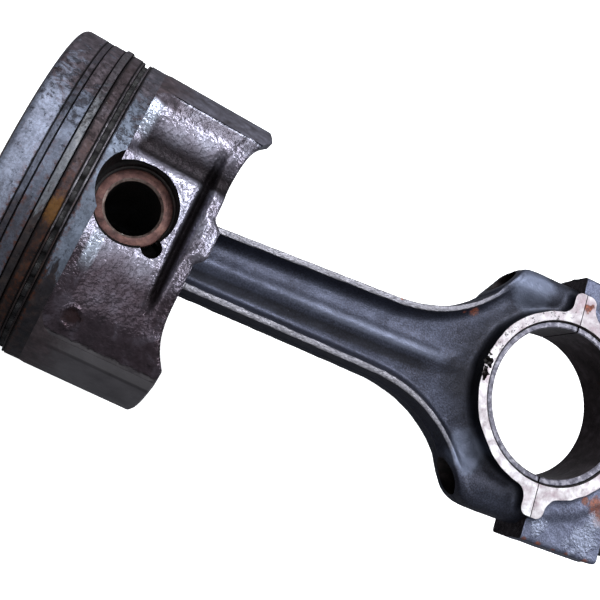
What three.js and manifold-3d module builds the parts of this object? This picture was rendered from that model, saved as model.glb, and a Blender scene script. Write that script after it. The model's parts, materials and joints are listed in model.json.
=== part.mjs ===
// Piston, wrist pin and connecting rod of a single cylinder, as one hinged assembly.
// Millimetres. Origin at the centre of the big-end bore, +Z along the crankpin and wrist pin,
// -X along the rod towards the piston. The piston hangs on its pin, turned a few degrees off the rod.
import * as THREE from 'three';
import { mergeVertices } from 'three/addons/utils/BufferGeometryUtils.js';
import Module from 'manifold-3d';

const wasm = await Module();
wasm.setup();

// ---------------------------------------------------------------- overall layout
const ROD_LENGTH = 140.5;          // wrist pin centre to crankpin centre
const PISTON_TURN_DEG = -5.1;      // piston axis against the rod axis, about the wrist pin
const SIDES = 72;                  // facets on every round wall that another part runs on
const FIT = 0.08;                  // radial clearance of the running fits
const SEAM = 0.15;                 // half of the gap on the rod and cap joint face

// ---------------------------------------------------------------- piston
const SKIRT_R = 43.0;
const LAND_R = 42.8;
const CROWN_X = -30.9;             // crown face; the pin centre is x = 0
const CROWN_EDGE = 1.8;
const BELT_END_X = -7.7;           // lower end of the ring belt
const SKIRT_END_X = 24.0;          // thrust-side skirt ends
const PANEL_END_X = 18.8;          // open end of the recessed sides
const BOSS_LUG_X = 21.3;           // open end under the pin boss
const GROOVE_R = 39.0;
const CHAMFER = 0.25;
const TOP_GROOVE = { start: -24.2, end: -22.7 };
const SECOND_GROOVE = { start: -19.2, end: -17.3 };
const OIL_GROOVE = { start: -14.4, end: -12.0 };
const CAVITY_TOP_X = -24.0;
const CAVITY_R = 36.4;
const SKIRT_WALL_R = 39.6;
const PANEL_HALF_W = 35.3;         // half width of the recessed side
const PANEL_EDGE_Z = 24.4;         // recessed side height where it meets the skirt
const FLANK_Y = 16.5;
const FLANK_Z = 31.0;
const PAD_Y = 12.0;                // half width of the flat boss face
const PAD_Z = 31.7;                // boss face height
const VALLEY_R = 2.6;
const PANEL_WALL = 3.6;
const BOSS_R = 16.0;
const BOSS_INNER_Z = 10.9;

// ---------------------------------------------------------------- wrist pin and circlips
const PIN_R = 9.9;
const PIN_HOLE_R = 6.9;
const PIN_HALF = 27.3;
const MOUTH_R = 10.7;
const CLIP_Z = 28.25;
const CLIP_WIRE_R = 0.7;
const CLIP_R = 10.15;
const CLIP_GROOVE_R = 11.0;
const CLIP_GROOVE_HALF = 0.8;
const NOTCH_R = 2.2;
const NOTCH_AT = 7.6;              // notch centre, this far along +X and -Y from the pin axis

// ---------------------------------------------------------------- rings
const RING_INNER_R = 39.4;
const TOP_RING_R = 42.7;
const SECOND_RING_R = 43.35;
const RING_SIDE = 0.06;            // gap between a ring's side and its groove
const RAIL_R = 42.7;
const RAIL_THICK = 0.45;
const EXPANDER_GAP = 0.1;
const EXPANDER_WAVES = 40;

// ---------------------------------------------------------------- connecting rod
const BEAM_HALF_T = 6.7;
const WEB_HALF_T = 2.4;
const RAIL_W = 2.0;
const BEAM_SMALL_W = 10.3;         // beam half width at the small end
const BEAM_BIG_W = 12.6;           // beam half width where the shoulders start
const BEAM_START_X = -128.0;
const FLARE_X = -58.0;
const EYE_R = 14.8;
const EYE_HALF = 9.9;
const BUSH_R = 11.6;
const HOUSING_R = 25.0;
const SHELL_R = 24.85;
const SHELL_INNER_R = 23.1;
const SHELL_HALF = 9.6;
const SHELL_SEAM = 0.3;
const THRUST_HALF = 10.2;
const THRUST_R = 28.2;
const CAP_THRUST_R = 29.0;
const EAR_HALF_W = 3.9;
const EAR_END_Y = 35.5;
const EAR_ROUND = 2.4;
const BOLT_Y = 31.8;
const BOLT_BOSS_R = 6.9;
const BOLT_HOLE_R = 4.75;
const SHOULDER_W = 38.5;
const SHOULDER_FLOOR = 5.2;

// ---------------------------------------------------------------- cap and bolts
const CAP_HALF_W = 42.5;
const CAP_HALF_T = 8.0;
const CAP_BOSS_X = 28.5;
const CAP_BOSS_IN_Y = 22.0;
const CAP_ARCH_R = 34.5;
const CAP_CORNER = 2.5;
const BOLT_R = 4.5;
const BOLT_TIP_X = -17.0;
const BOLT_FLANGE_R = 7.6;
const BOLT_FLANGE_T = 1.6;
const BOLT_HEAD_R = 6.9;           // hexagon, centre to corner
const BOLT_HEAD_T = 7.0;
const SEAT_GAP = 0.1;

// ---------------------------------------------------------------- solid helpers
function signedVolume(geometry) {
  const p = geometry.attributes.position;
  const ix = geometry.index;
  const a = new THREE.Vector3();
  const b = new THREE.Vector3();
  const c = new THREE.Vector3();
  let v = 0;
  for (let i = 0; i < ix.count; i += 3) {
    a.fromBufferAttribute(p, ix.getX(i));
    b.fromBufferAttribute(p, ix.getX(i + 1));
    c.fromBufferAttribute(p, ix.getX(i + 2));
    v += a.dot(b.cross(c)) / 6;
  }
  return v;
}

// A closed three.js geometry as a manifold solid, facing outwards.
function solid(geometry) {
  const g = geometry.clone();
  g.deleteAttribute('normal');
  g.deleteAttribute('uv');
  const m = mergeVertices(g, 1e-4);
  const index = Array.from(m.index.array);
  if (signedVolume(m) < 0) {
    index.reverse();
  }
  return new wasm.Manifold(new wasm.Mesh({
    numProp: 3,
    vertProperties: new Float32Array(m.attributes.position.array),
    triVerts: new Uint32Array(index),
  }));
}

function geometryOf(manifold) {
  const m = manifold.getMesh();
  const g = new THREE.BufferGeometry();
  g.setAttribute('position', new THREE.BufferAttribute(new Float32Array(m.vertProperties), 3));
  g.setIndex(new THREE.BufferAttribute(new Uint32Array(m.triVerts), 1));
  g.computeVertexNormals();
  return g;
}

const AXIS_X = new THREE.Vector3(1, 0, 0);
const AXIS_Y = new THREE.Vector3(0, 1, 0);
const AXIS_Z = new THREE.Vector3(0, 0, 1);

function shapeOf(points) {
  return new THREE.Shape(points.map(([u, v]) => new THREE.Vector2(u, v)));
}

// Outline in x, y carried from z0 to z1.
function plateZ(shape, z0, z1, curveSegments = 12) {
  const g = new THREE.ExtrudeGeometry(shape, { depth: z1 - z0, bevelEnabled: false, curveSegments });
  g.translate(0, 0, z0);
  return solid(g);
}

// Outline in y, z carried from x0 to x1.
function plateX(shape, x0, x1, curveSegments = 12) {
  const g = new THREE.ExtrudeGeometry(shape, { depth: x1 - x0, bevelEnabled: false, curveSegments });
  g.applyMatrix4(new THREE.Matrix4().makeBasis(AXIS_Y, AXIS_Z, AXIS_X));
  g.translate(x0, 0, 0);
  return solid(g);
}

// Outline in x, z carried from -halfY to +halfY.
function plateY(shape, halfY, curveSegments = 12) {
  const g = new THREE.ExtrudeGeometry(shape, { depth: 2 * halfY, bevelEnabled: false, curveSegments });
  g.applyMatrix4(new THREE.Matrix4().makeBasis(AXIS_X, AXIS_Z, AXIS_Y.clone().negate()));
  g.translate(0, halfY, 0);
  return solid(g);
}

// Profile of [radius, x] points turned about the x axis.
function turnedX(profile, sides = SIDES) {
  const g = new THREE.LatheGeometry(profile.map(([r, x]) => new THREE.Vector2(r, x)), sides);
  g.rotateZ(-Math.PI / 2);
  return solid(g);
}

// Profile of [radius, z] points turned about a z axis through (x, y).
function turnedZ(profile, x = 0, y = 0, sides = SIDES) {
  const g = new THREE.LatheGeometry(profile.map(([r, z]) => new THREE.Vector2(r, z)), sides);
  g.rotateX(Math.PI / 2);
  g.translate(x, y, 0);
  return solid(g);
}

function rodX(radius, x0, x1, y = 0, z = 0, sides = 32) {
  return place(turnedX([[0, x0], [radius, x0], [radius, x1], [0, x1]], sides), 0, y, z);
}

function rodZ(radius, z0, z1, x = 0, y = 0, sides = SIDES) {
  return turnedZ([[0, z0], [radius, z0], [radius, z1], [0, z1]], x, y, sides);
}

function place(manifold, x, y, z) {
  return manifold.translate(x, y, z);
}

function box(x0, x1, y0, y1, z0, z1) {
  const g = new THREE.BoxGeometry(x1 - x0, y1 - y0, z1 - z0);
  g.translate((x0 + x1) / 2, (y0 + y1) / 2, (z0 + z1) / 2);
  return solid(g);
}

function union(solids) {
  return solids.reduce((sum, s) => sum.add(s));
}

// The same solid on both faces of the plane z = 0.
function bothFaces(manifold) {
  return manifold.add(manifold.mirror([0, 0, 1]));
}

// The same solid on both sides of the plane y = 0.
function bothSides(manifold) {
  return manifold.add(manifold.mirror([0, 1, 0]));
}

// ---------------------------------------------------------------- piston
function grooveSteps({ start, end }) {
  return [
    [LAND_R, start - CHAMFER],
    [LAND_R - CHAMFER, start],
    [GROOVE_R, start],
    [GROOVE_R, end],
    [LAND_R - CHAMFER, end],
    [LAND_R, end + CHAMFER],
  ];
}

function pistonBlank() {
  const profile = [[0, CROWN_X], [LAND_R - CROWN_EDGE, CROWN_X]];
  const edgeSteps = 4;
  for (let i = 1; i <= edgeSteps; i += 1) {
    const t = (i / edgeSteps) * Math.PI / 2;
    profile.push([
      LAND_R - CROWN_EDGE + CROWN_EDGE * Math.sin(t),
      CROWN_X + CROWN_EDGE - CROWN_EDGE * Math.cos(t),
    ]);
  }
  profile.push(...grooveSteps(TOP_GROOVE), ...grooveSteps(SECOND_GROOVE), ...grooveSteps(OIL_GROOVE));
  profile.push([LAND_R, BELT_END_X], [SKIRT_R, BELT_END_X + 1.5]);
  profile.push([SKIRT_R, SKIRT_END_X - 0.6], [SKIRT_R - 0.6, SKIRT_END_X], [0, SKIRT_END_X]);
  return turnedX(profile);
}

// Height of the recessed side over half the width, from the boss face out to the skirt.
function panelLine() {
  return [
    [0, PAD_Z],
    [PAD_Y, PAD_Z],
    [PAD_Y + 1.2, PAD_Z - 1.0],
    [PAD_Y + 2.2, PAD_Z - 1.5],
    [PAD_Y + 3.2, PAD_Z - 1.2],
    [FLANK_Y, FLANK_Z],
    [FLANK_Y + 6, FLANK_Z - 1.2],
    [FLANK_Y + 12, FLANK_Z - 3.2],
    [PANEL_HALF_W - 1.2, PANEL_EDGE_Z + 0.3],
    [PANEL_HALF_W, PANEL_EDGE_Z + 0.1],
  ];
}

function mirroredLine(line) {
  const left = line.slice(1).reverse().map(([u, v]) => [-u, v]);
  return [...left, ...line];
}

// What is cut away outside one recessed side, with rounded corners where it meets the belt.
function sideCutter() {
  const line = mirroredLine(panelLine());
  const top = SKIRT_R + 3;
  const section = shapeOf([...line, [PANEL_HALF_W, top], [-PANEL_HALF_W, top]]);
  const corner = 4.5;
  const plan = new THREE.Shape();
  plan.moveTo(SKIRT_END_X + 2, -PANEL_HALF_W);
  plan.lineTo(SKIRT_END_X + 2, PANEL_HALF_W);
  plan.lineTo(BELT_END_X + corner, PANEL_HALF_W);
  plan.quadraticCurveTo(BELT_END_X, PANEL_HALF_W, BELT_END_X, PANEL_HALF_W - corner);
  plan.lineTo(BELT_END_X, -PANEL_HALF_W + corner);
  plan.quadraticCurveTo(BELT_END_X, -PANEL_HALF_W, BELT_END_X + corner, -PANEL_HALF_W);
  return plateX(section, BELT_END_X, SKIRT_END_X + 2)
    .intersect(plateZ(plan, 0, top, 6));
}

// The groove across the recessed side between the boss face and its open end.
function crossValley() {
  const groove = rodX(1, -17, 17, 0, 0, 20);
  return groove.scale([1, VALLEY_R / 1.3, VALLEY_R])
    .rotate([0, 0, 90])
    .translate([14.6, 1.5, PAD_Z + 0.6]);
}

// What is cut away beyond the open end: straight at the thrust sides, drawn in over the sides.
function skirtEndCutter() {
  const far = SKIRT_END_X + 6;
  const s = new THREE.Shape();
  s.moveTo(far, -SKIRT_R - 2);
  s.lineTo(SKIRT_END_X, -SKIRT_R - 2);
  s.lineTo(SKIRT_END_X, -32.6);
  s.bezierCurveTo(SKIRT_END_X - 2.4, -29.5, PANEL_END_X, -27, PANEL_END_X, -17);
  s.lineTo(PANEL_END_X, -7);
  s.bezierCurveTo(PANEL_END_X, -5, BOSS_LUG_X, -5, BOSS_LUG_X, -3);
  s.lineTo(BOSS_LUG_X, 3);
  s.bezierCurveTo(BOSS_LUG_X, 5, PANEL_END_X, 5, PANEL_END_X, 7);
  s.lineTo(PANEL_END_X, 17);
  s.bezierCurveTo(PANEL_END_X, 27, SKIRT_END_X - 2.4, 29.5, SKIRT_END_X, 32.6);
  s.lineTo(SKIRT_END_X, SKIRT_R + 2);
  s.lineTo(far, SKIRT_R + 2);
  return plateZ(s, -SKIRT_R - 2, SKIRT_R + 2, 8);
}

function pistonCavity() {
  const end = SKIRT_END_X + 1;
  const belt = rodX(CAVITY_R, CAVITY_TOP_X, end, 0, 0, SIDES);
  const skirt = turnedX([[0, -2], [CAVITY_R, -2], [SKIRT_WALL_R, 5], [SKIRT_WALL_R, end], [0, end]]);
  const inner = panelLine().map(([u, v]) => [u, v - PANEL_WALL]);
  const line = mirroredLine([...inner, [SKIRT_R, PANEL_EDGE_Z - PANEL_WALL]]);
  const lower = line.slice().reverse().map(([u, v]) => [u, -v]);
  const room = plateX(shapeOf([...line, ...lower]), CAVITY_TOP_X - 1, end);
  return belt.add(skirt).intersect(room);
}

function pinBosses() {
  const barrel = rodZ(BOSS_R, BOSS_INNER_Z, PAD_Z - PANEL_WALL + 1);
  const strut = box(CAVITY_TOP_X - 0.5, 0, -BOSS_R + 2, BOSS_R - 2, BOSS_INNER_Z, PAD_Z - PANEL_WALL + 1);
  return bothFaces(barrel.add(strut));
}

function pinBore() {
  const mouth = MOUTH_R - PIN_R - FIT;
  const r = PIN_R + FIT;
  const g = CLIP_GROOVE_HALF;
  const half = [
    [r, CLIP_Z - g],
    [CLIP_GROOVE_R, CLIP_Z - g],
    [CLIP_GROOVE_R, CLIP_Z + g],
    [r, CLIP_Z + g],
    [r, PAD_Z - mouth],
    [MOUTH_R, PAD_Z],
    [MOUTH_R, SKIRT_R + 2],
  ];
  const lower = half.slice().reverse().map(([u, v]) => [u, -v]);
  const bore = turnedZ([[0, -SKIRT_R - 2], ...lower, ...half, [0, SKIRT_R + 2]]);
  const notch = rodZ(NOTCH_R, CLIP_Z - g, SKIRT_R + 2, NOTCH_AT, -NOTCH_AT, 24);
  return bore.add(bothFaces(notch));
}

function buildPiston() {
  const sides = bothFaces(sideCutter().add(crossValley()));
  const shell = pistonBlank().subtract(sides).subtract(pistonCavity());
  return shell.add(pinBosses()).subtract(pinBore()).subtract(skirtEndCutter());
}

// ---------------------------------------------------------------- rings, pin and clips
// A split ring about the x axis; the gap is centred at gapDeg, measured from +Z towards +Y.
function splitRing(outerR, innerR, x0, x1, gapDeg, gapWidth) {
  const profile = [[innerR, x0], [outerR, x0], [outerR, x1], [innerR, x1], [innerR, x0]];
  const cut = box(x0 - 1, x1 + 1, -gapWidth / 2, gapWidth / 2, innerR - 3, outerR + 3);
  return turnedX(profile).subtract(cut.rotate([-gapDeg, 0, 0]));
}

// The corrugated spacer that holds the two oil rails apart.
function expander(x0, x1, gapDeg) {
  const outer = [];
  const inner = [];
  const steps = EXPANDER_WAVES * 4;
  const gap = THREE.MathUtils.degToRad(2);
  const start = THREE.MathUtils.degToRad(90 - gapDeg) + gap / 2;
  for (let i = 0; i <= steps; i += 1) {
    const a = start + (i / steps) * (2 * Math.PI - gap);
    const wave = (i % 4 < 2 ? 1 : -1) * 0.5;
    outer.push([(41.6 + wave) * Math.cos(a), (41.6 + wave) * Math.sin(a)]);
    inner.push([(40.5 + wave) * Math.cos(a), (40.5 + wave) * Math.sin(a)]);
  }
  return plateX(shapeOf([...outer, ...inner.reverse()]), x0, x1);
}

function wristPin() {
  const c = 0.6;
  return turnedZ([
    [PIN_HOLE_R, -PIN_HALF + c],
    [PIN_HOLE_R + c, -PIN_HALF],
    [PIN_R - c, -PIN_HALF],
    [PIN_R, -PIN_HALF + c],
    [PIN_R, PIN_HALF - c],
    [PIN_R - c, PIN_HALF],
    [PIN_HOLE_R + c, PIN_HALF],
    [PIN_HOLE_R, PIN_HALF - c],
    [PIN_HOLE_R, -PIN_HALF + c],
  ]);
}

class ClipPath extends THREE.Curve {
  getPoint(t, target = new THREE.Vector3()) {
    const open = THREE.MathUtils.degToRad(50);
    const a = THREE.MathUtils.degToRad(-45) + open / 2 + t * (2 * Math.PI - open);
    return target.set(CLIP_R * Math.cos(a), CLIP_R * Math.sin(a), 0);
  }
}

function circlip(z) {
  const wire = new THREE.Shape();
  wire.absarc(0, 0, CLIP_WIRE_R, 0, 2 * Math.PI, false);
  const g = new THREE.ExtrudeGeometry(wire, { steps: 36, curveSegments: 6, extrudePath: new ClipPath() });
  g.translate(0, 0, z);
  return solid(g);
}

// ---------------------------------------------------------------- connecting rod
// Upper edge of the beam and shoulder, small end to cap joint, drawn in by inset.
function rodEdge(inset) {
  const path = new THREE.Path();
  path.moveTo(BEAM_START_X, BEAM_SMALL_W);
  path.lineTo(FLARE_X, BEAM_BIG_W);
  path.bezierCurveTo(-43, 13.8, -31, 20.5, -22.5, 35.2);
  path.quadraticCurveTo(-20, SHOULDER_W, -15, SHOULDER_W);
  path.lineTo(-SEAM, SHOULDER_W);
  const points = path.getPoints(10);
  return points.map((p, i) => {
    const before = points[Math.max(i - 1, 0)];
    const after = points[Math.min(i + 1, points.length - 1)];
    const along = after.clone().sub(before).normalize();
    return [p.x + along.y * inset, p.y - along.x * inset];
  });
}

function rodPlan(inset, endX) {
  const edge = rodEdge(inset).filter(([x]) => x <= endX);
  const upper = [...edge, [endX, edge[edge.length - 1][1]]];
  const lower = upper.slice().reverse().map(([x, y]) => [x, -y]);
  return shapeOf([...upper, ...lower]);
}

// Hollow on one face of the beam, its floor rising into the shoulders, with a low rib along the middle.
function beamPocket() {
  const floor = shapeOf([
    [BEAM_START_X, WEB_HALF_T],
    [FLARE_X, WEB_HALF_T],
    [-40, 3.6],
    [-24, SHOULDER_FLOOR],
    [-12, SHOULDER_FLOOR],
    [-12, 20],
    [BEAM_START_X, 20],
  ]);
  const rib = shapeOf([[-4, 0], [4, 0], [3.2, 2.6], [1.6, 3.6], [0, 3.9], [-1.6, 3.6], [-3.2, 2.6]]);
  return plateZ(rodPlan(RAIL_W, -12), 0, 20)
    .intersect(plateY(floor, SHOULDER_W + 2))
    .subtract(plateX(rib, BEAM_START_X - 1, -34));
}

// Raised thrust face of one half: a ring with an ear along the joint on each side.
function thrustFace(radius, side) {
  const joint = side * SEAM;
  const far = side * (radius + 1);
  const keep = box(Math.min(joint, far), Math.max(joint, far), -60, 60, -30, 30);
  const edge = 0.4;
  const ring = turnedZ([
    [0, -THRUST_HALF],
    [radius - edge, -THRUST_HALF],
    [radius, -THRUST_HALF + edge],
    [radius, THRUST_HALF - edge],
    [radius - edge, THRUST_HALF],
    [0, THRUST_HALF],
  ]);
  const ear = new THREE.Shape();
  ear.moveTo(-EAR_HALF_W, 20);
  ear.lineTo(EAR_HALF_W, 20);
  ear.lineTo(EAR_HALF_W, EAR_END_Y - EAR_ROUND);
  ear.quadraticCurveTo(EAR_HALF_W, EAR_END_Y, EAR_HALF_W - EAR_ROUND, EAR_END_Y);
  ear.lineTo(-EAR_HALF_W + EAR_ROUND, EAR_END_Y);
  ear.quadraticCurveTo(-EAR_HALF_W, EAR_END_Y, -EAR_HALF_W, EAR_END_Y - EAR_ROUND);
  const ears = bothSides(plateZ(ear, -THRUST_HALF, THRUST_HALF, 5));
  return ring.add(ears).intersect(keep);
}

function boltHoles(x0, x1) {
  return bothSides(rodX(BOLT_HOLE_R, x0, x1, BOLT_Y, 0, 32));
}

function buildRod() {
  const plan = plateZ(rodPlan(0, -SEAM), -BEAM_HALF_T, BEAM_HALF_T);
  const thick = plateZ(rodPlan(0, -SEAM), -BOLT_BOSS_R - 1, BOLT_BOSS_R + 1);
  const bosses = bothSides(rodX(BOLT_BOSS_R, -40, -SEAM, BOLT_Y, 0, 32)).intersect(thick);
  const corner = bothSides(box(-30, 0, BOLT_Y, 50, -20, 20));
  const round = bothSides(rodX(BOLT_BOSS_R, -45, 0, BOLT_Y, 0, 32));
  const eye = rodZ(EYE_R, -EYE_HALF, EYE_HALF, -ROD_LENGTH, 0);
  const eyeHole = rodZ(BUSH_R + SEAT_GAP, -EYE_HALF - 1, EYE_HALF + 1, -ROD_LENGTH, 0);
  const housing = rodZ(HOUSING_R, -THRUST_HALF - 1, THRUST_HALF + 1);
  const beam = plan.subtract(bothFaces(beamPocket())).subtract(corner.subtract(round));
  return union([beam, bosses, thrustFace(THRUST_R, -1), eye])
    .subtract(housing)
    .subtract(eyeHole)
    .subtract(boltHoles(-45, 1));
}

function bush() {
  const r = PIN_R + FIT;
  return turnedZ([
    [r, -EYE_HALF],
    [BUSH_R, -EYE_HALF],
    [BUSH_R, EYE_HALF],
    [r, EYE_HALF],
    [r, -EYE_HALF],
  ], -ROD_LENGTH, 0);
}

// ---------------------------------------------------------------- cap, shells and bolts
function buildCap() {
  const boss = new THREE.Shape();
  boss.moveTo(SEAM, CAP_BOSS_IN_Y);
  boss.lineTo(CAP_BOSS_X, CAP_BOSS_IN_Y);
  boss.lineTo(CAP_BOSS_X, CAP_HALF_W - CAP_CORNER);
  boss.lineTo(CAP_BOSS_X - CAP_CORNER, CAP_HALF_W);
  boss.lineTo(SEAM, CAP_HALF_W);
  const bosses = bothSides(plateZ(boss, -CAP_HALF_T, CAP_HALF_T));
  const keep = box(SEAM, 60, -60, 60, -30, 30);
  const edge = 1.5;
  const arch = turnedZ([
    [0, -CAP_HALF_T - 0.6],
    [CAP_ARCH_R - edge, -CAP_HALF_T - 0.6],
    [CAP_ARCH_R, -CAP_HALF_T - 0.6 + edge],
    [CAP_ARCH_R, CAP_HALF_T + 0.6 - edge],
    [CAP_ARCH_R - edge, CAP_HALF_T + 0.6],
    [0, CAP_HALF_T + 0.6],
  ]).intersect(keep);
  const headRoom = bothSides(rodX(BOLT_FLANGE_R + 0.6, CAP_BOSS_X, 60, BOLT_Y, 0, 32));
  const housing = rodZ(HOUSING_R, -THRUST_HALF - 1, THRUST_HALF + 1);
  return union([bosses, arch, thrustFace(CAP_THRUST_R, 1)])
    .subtract(headRoom)
    .subtract(housing)
    .subtract(boltHoles(-1, 60));
}

function shell(side) {
  const c = 0.35;
  const ring = turnedZ([
    [SHELL_INNER_R, -SHELL_HALF + c],
    [SHELL_INNER_R + c, -SHELL_HALF],
    [SHELL_R, -SHELL_HALF],
    [SHELL_R, SHELL_HALF],
    [SHELL_INNER_R + c, SHELL_HALF],
    [SHELL_INNER_R, SHELL_HALF - c],
    [SHELL_INNER_R, -SHELL_HALF + c],
  ]);
  const x0 = side > 0 ? SHELL_SEAM : -SHELL_R - 1;
  const x1 = side > 0 ? SHELL_R + 1 : -SHELL_SEAM;
  return ring.intersect(box(x0, x1, -30, 30, -30, 30));
}

function bolt(side) {
  const seat = CAP_BOSS_X + SEAT_GAP;
  const flangeEnd = seat + BOLT_FLANGE_T;
  const shank = turnedX([
    [0, BOLT_TIP_X],
    [BOLT_R - 0.8, BOLT_TIP_X],
    [BOLT_R, BOLT_TIP_X + 0.8],
    [BOLT_R, seat],
    [BOLT_FLANGE_R, seat],
    [BOLT_FLANGE_R, flangeEnd - 0.6],
    [BOLT_HEAD_R - 0.2, flangeEnd + 0.4],
    [0, flangeEnd + 0.4],
  ], 32);
  const hex = turnedX([
    [0, flangeEnd],
    [BOLT_HEAD_R, flangeEnd],
    [BOLT_HEAD_R, seat + BOLT_HEAD_T - 0.8],
    [BOLT_HEAD_R - 1, seat + BOLT_HEAD_T],
    [0, seat + BOLT_HEAD_T],
  ], 6);
  return place(shank.add(hex), 0, side * BOLT_Y, 0);
}

// ---------------------------------------------------------------- assembly
const FINISH = {
  piston: { color: 0x77757c, roughness: 0.42, metalness: 0.9 },
  ring_steel: { color: 0x8a8884, roughness: 0.38, metalness: 0.9 },
  oil_rail: { color: 0xa09c94, roughness: 0.35, metalness: 0.9 },
  expander: { color: 0x2a211c, roughness: 0.6, metalness: 0.6 },
  pin_steel: { color: 0x7a5346, roughness: 0.55, metalness: 0.8 },
  clip_steel: { color: 0x3c3634, roughness: 0.45, metalness: 0.85 },
  rod_steel: { color: 0x4b4e5a, roughness: 0.45, metalness: 0.85 },
  cap_steel: { color: 0x565a66, roughness: 0.45, metalness: 0.85 },
  bush_bronze: { color: 0x8d6a3c, roughness: 0.4, metalness: 0.9 },
  shell_upper: { color: 0xb9b0b8, roughness: 0.3, metalness: 0.95 },
  shell_lower: { color: 0xb4acb4, roughness: 0.3, metalness: 0.95 },
  bolt_steel: { color: 0x3a3a40, roughness: 0.4, metalness: 0.9 },
};

function named(name, slot, manifold) {
  const material = new THREE.MeshStandardMaterial(FINISH[slot]);
  material.name = slot;
  const mesh = new THREE.Mesh(geometryOf(manifold), material);
  mesh.name = name;
  return mesh;
}

// Parts drawn about the wrist pin, moved to the piston's place in the assembly.
function onPiston(manifold) {
  return manifold.rotate([0, 0, PISTON_TURN_DEG]).translate([-ROD_LENGTH, 0, 0]);
}

const topRing = splitRing(TOP_RING_R, RING_INNER_R, TOP_GROOVE.start + RING_SIDE,
  TOP_GROOVE.end - RING_SIDE, 200, 1.2);
const secondRing = splitRing(SECOND_RING_R, RING_INNER_R, SECOND_GROOVE.start + RING_SIDE,
  SECOND_GROOVE.end - RING_SIDE, 62, 1.6);
const railUpperEnd = OIL_GROOVE.start + RING_SIDE + RAIL_THICK;
const railLowerStart = OIL_GROOVE.end - RING_SIDE - RAIL_THICK;
const railUpper = splitRing(RAIL_R, RING_INNER_R, OIL_GROOVE.start + RING_SIDE, railUpperEnd, 150, 1.2);
const railLower = splitRing(RAIL_R, RING_INNER_R, railLowerStart, OIL_GROOVE.end - RING_SIDE, 240, 1.2);
const spacer = expander(railUpperEnd + EXPANDER_GAP, railLowerStart - EXPANDER_GAP, 100);

const part = new THREE.Group();
part.name = 'piston_and_connecting_rod';
part.add(
  named('connecting_rod', 'rod_steel', buildRod()),
  named('small_end_bush', 'bush_bronze', bush()),
  named('rod_cap', 'cap_steel', buildCap()),
  named('bearing_shell_upper', 'shell_upper', shell(-1)),
  named('bearing_shell_lower', 'shell_lower', shell(1)),
  named('rod_bolt_right', 'bolt_steel', bolt(1)),
  named('rod_bolt_left', 'bolt_steel', bolt(-1)),
  named('piston', 'piston', onPiston(buildPiston())),
  named('wrist_pin', 'pin_steel', onPiston(wristPin())),
  named('circlip_front', 'clip_steel', onPiston(circlip(CLIP_Z))),
  named('circlip_rear', 'clip_steel', onPiston(circlip(-CLIP_Z))),
  named('top_compression_ring', 'ring_steel', onPiston(topRing)),
  named('second_compression_ring', 'ring_steel', onPiston(secondRing)),
  named('oil_rail_upper', 'oil_rail', onPiston(railUpper)),
  named('oil_rail_lower', 'oil_rail', onPiston(railLower)),
  named('oil_ring_expander', 'expander', onPiston(spacer)),
);

export default part;
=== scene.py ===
import json
import math

import bpy
import numpy as np
from mathutils import Matrix, Vector


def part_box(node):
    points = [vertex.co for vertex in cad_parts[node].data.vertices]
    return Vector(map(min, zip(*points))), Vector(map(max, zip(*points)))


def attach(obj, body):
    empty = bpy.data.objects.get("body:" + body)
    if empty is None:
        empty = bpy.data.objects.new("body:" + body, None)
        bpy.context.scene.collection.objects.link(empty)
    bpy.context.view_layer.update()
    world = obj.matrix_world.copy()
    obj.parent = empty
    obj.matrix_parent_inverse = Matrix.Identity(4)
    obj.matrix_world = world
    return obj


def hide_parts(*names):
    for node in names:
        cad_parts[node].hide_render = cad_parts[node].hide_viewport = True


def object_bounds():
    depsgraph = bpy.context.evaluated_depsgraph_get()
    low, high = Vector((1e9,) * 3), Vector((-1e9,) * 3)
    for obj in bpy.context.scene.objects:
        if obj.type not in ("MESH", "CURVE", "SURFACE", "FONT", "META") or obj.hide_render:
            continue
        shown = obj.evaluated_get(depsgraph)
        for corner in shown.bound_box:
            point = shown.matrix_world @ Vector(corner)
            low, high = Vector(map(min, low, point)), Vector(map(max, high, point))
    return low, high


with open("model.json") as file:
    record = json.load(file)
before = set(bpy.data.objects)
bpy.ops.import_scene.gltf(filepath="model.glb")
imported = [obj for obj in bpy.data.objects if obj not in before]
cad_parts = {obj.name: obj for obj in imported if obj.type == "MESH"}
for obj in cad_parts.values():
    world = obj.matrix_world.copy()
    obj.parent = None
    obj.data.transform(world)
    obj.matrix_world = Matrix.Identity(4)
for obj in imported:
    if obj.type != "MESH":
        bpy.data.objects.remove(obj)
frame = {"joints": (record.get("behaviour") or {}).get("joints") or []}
cad_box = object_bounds()

MM = 0.001
joints = {j["name"]: j for j in frame["joints"]}
pin_at = [v / MM for v in joints["piston_swing"]["pos_m"]]
piston_axis = joints["top_ring_spin"]["axis"]
PISTON_TURN = math.atan2(piston_axis[1], piston_axis[0])
ROD_LENGTH = -pin_at[0]


def half_length(name):
    """Half of a CAD node's size along z, from a node that sits in the middle plane, in mm."""
    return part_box(name)[1][2] / MM


# ---------------------------------------------------------------- dimensions, mm
# Piston and rod each have their own axes, x along them towards the big end and z along the pins.
# The piston's start at the wrist pin and the rod's at the crank pin. R is a radius, HALF half a
# length or width, and X, Y or Z the place of something along that axis.
SHARP_DEG = 32.0

# piston: crown, ring belt, skirt
SKIRT_R = 43.0
LAND_R = 42.8
CROWN_X = -30.9
CROWN_EDGE = 1.8
BELT_END_X = -7.7
SKIRT_END_X = 24.0
GROOVE_R = 39.0
GROOVES = [(-24.2, -22.7), (-19.2, -17.3), (-14.4, -12.0)]
RING_INNER_R = 39.4

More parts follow.
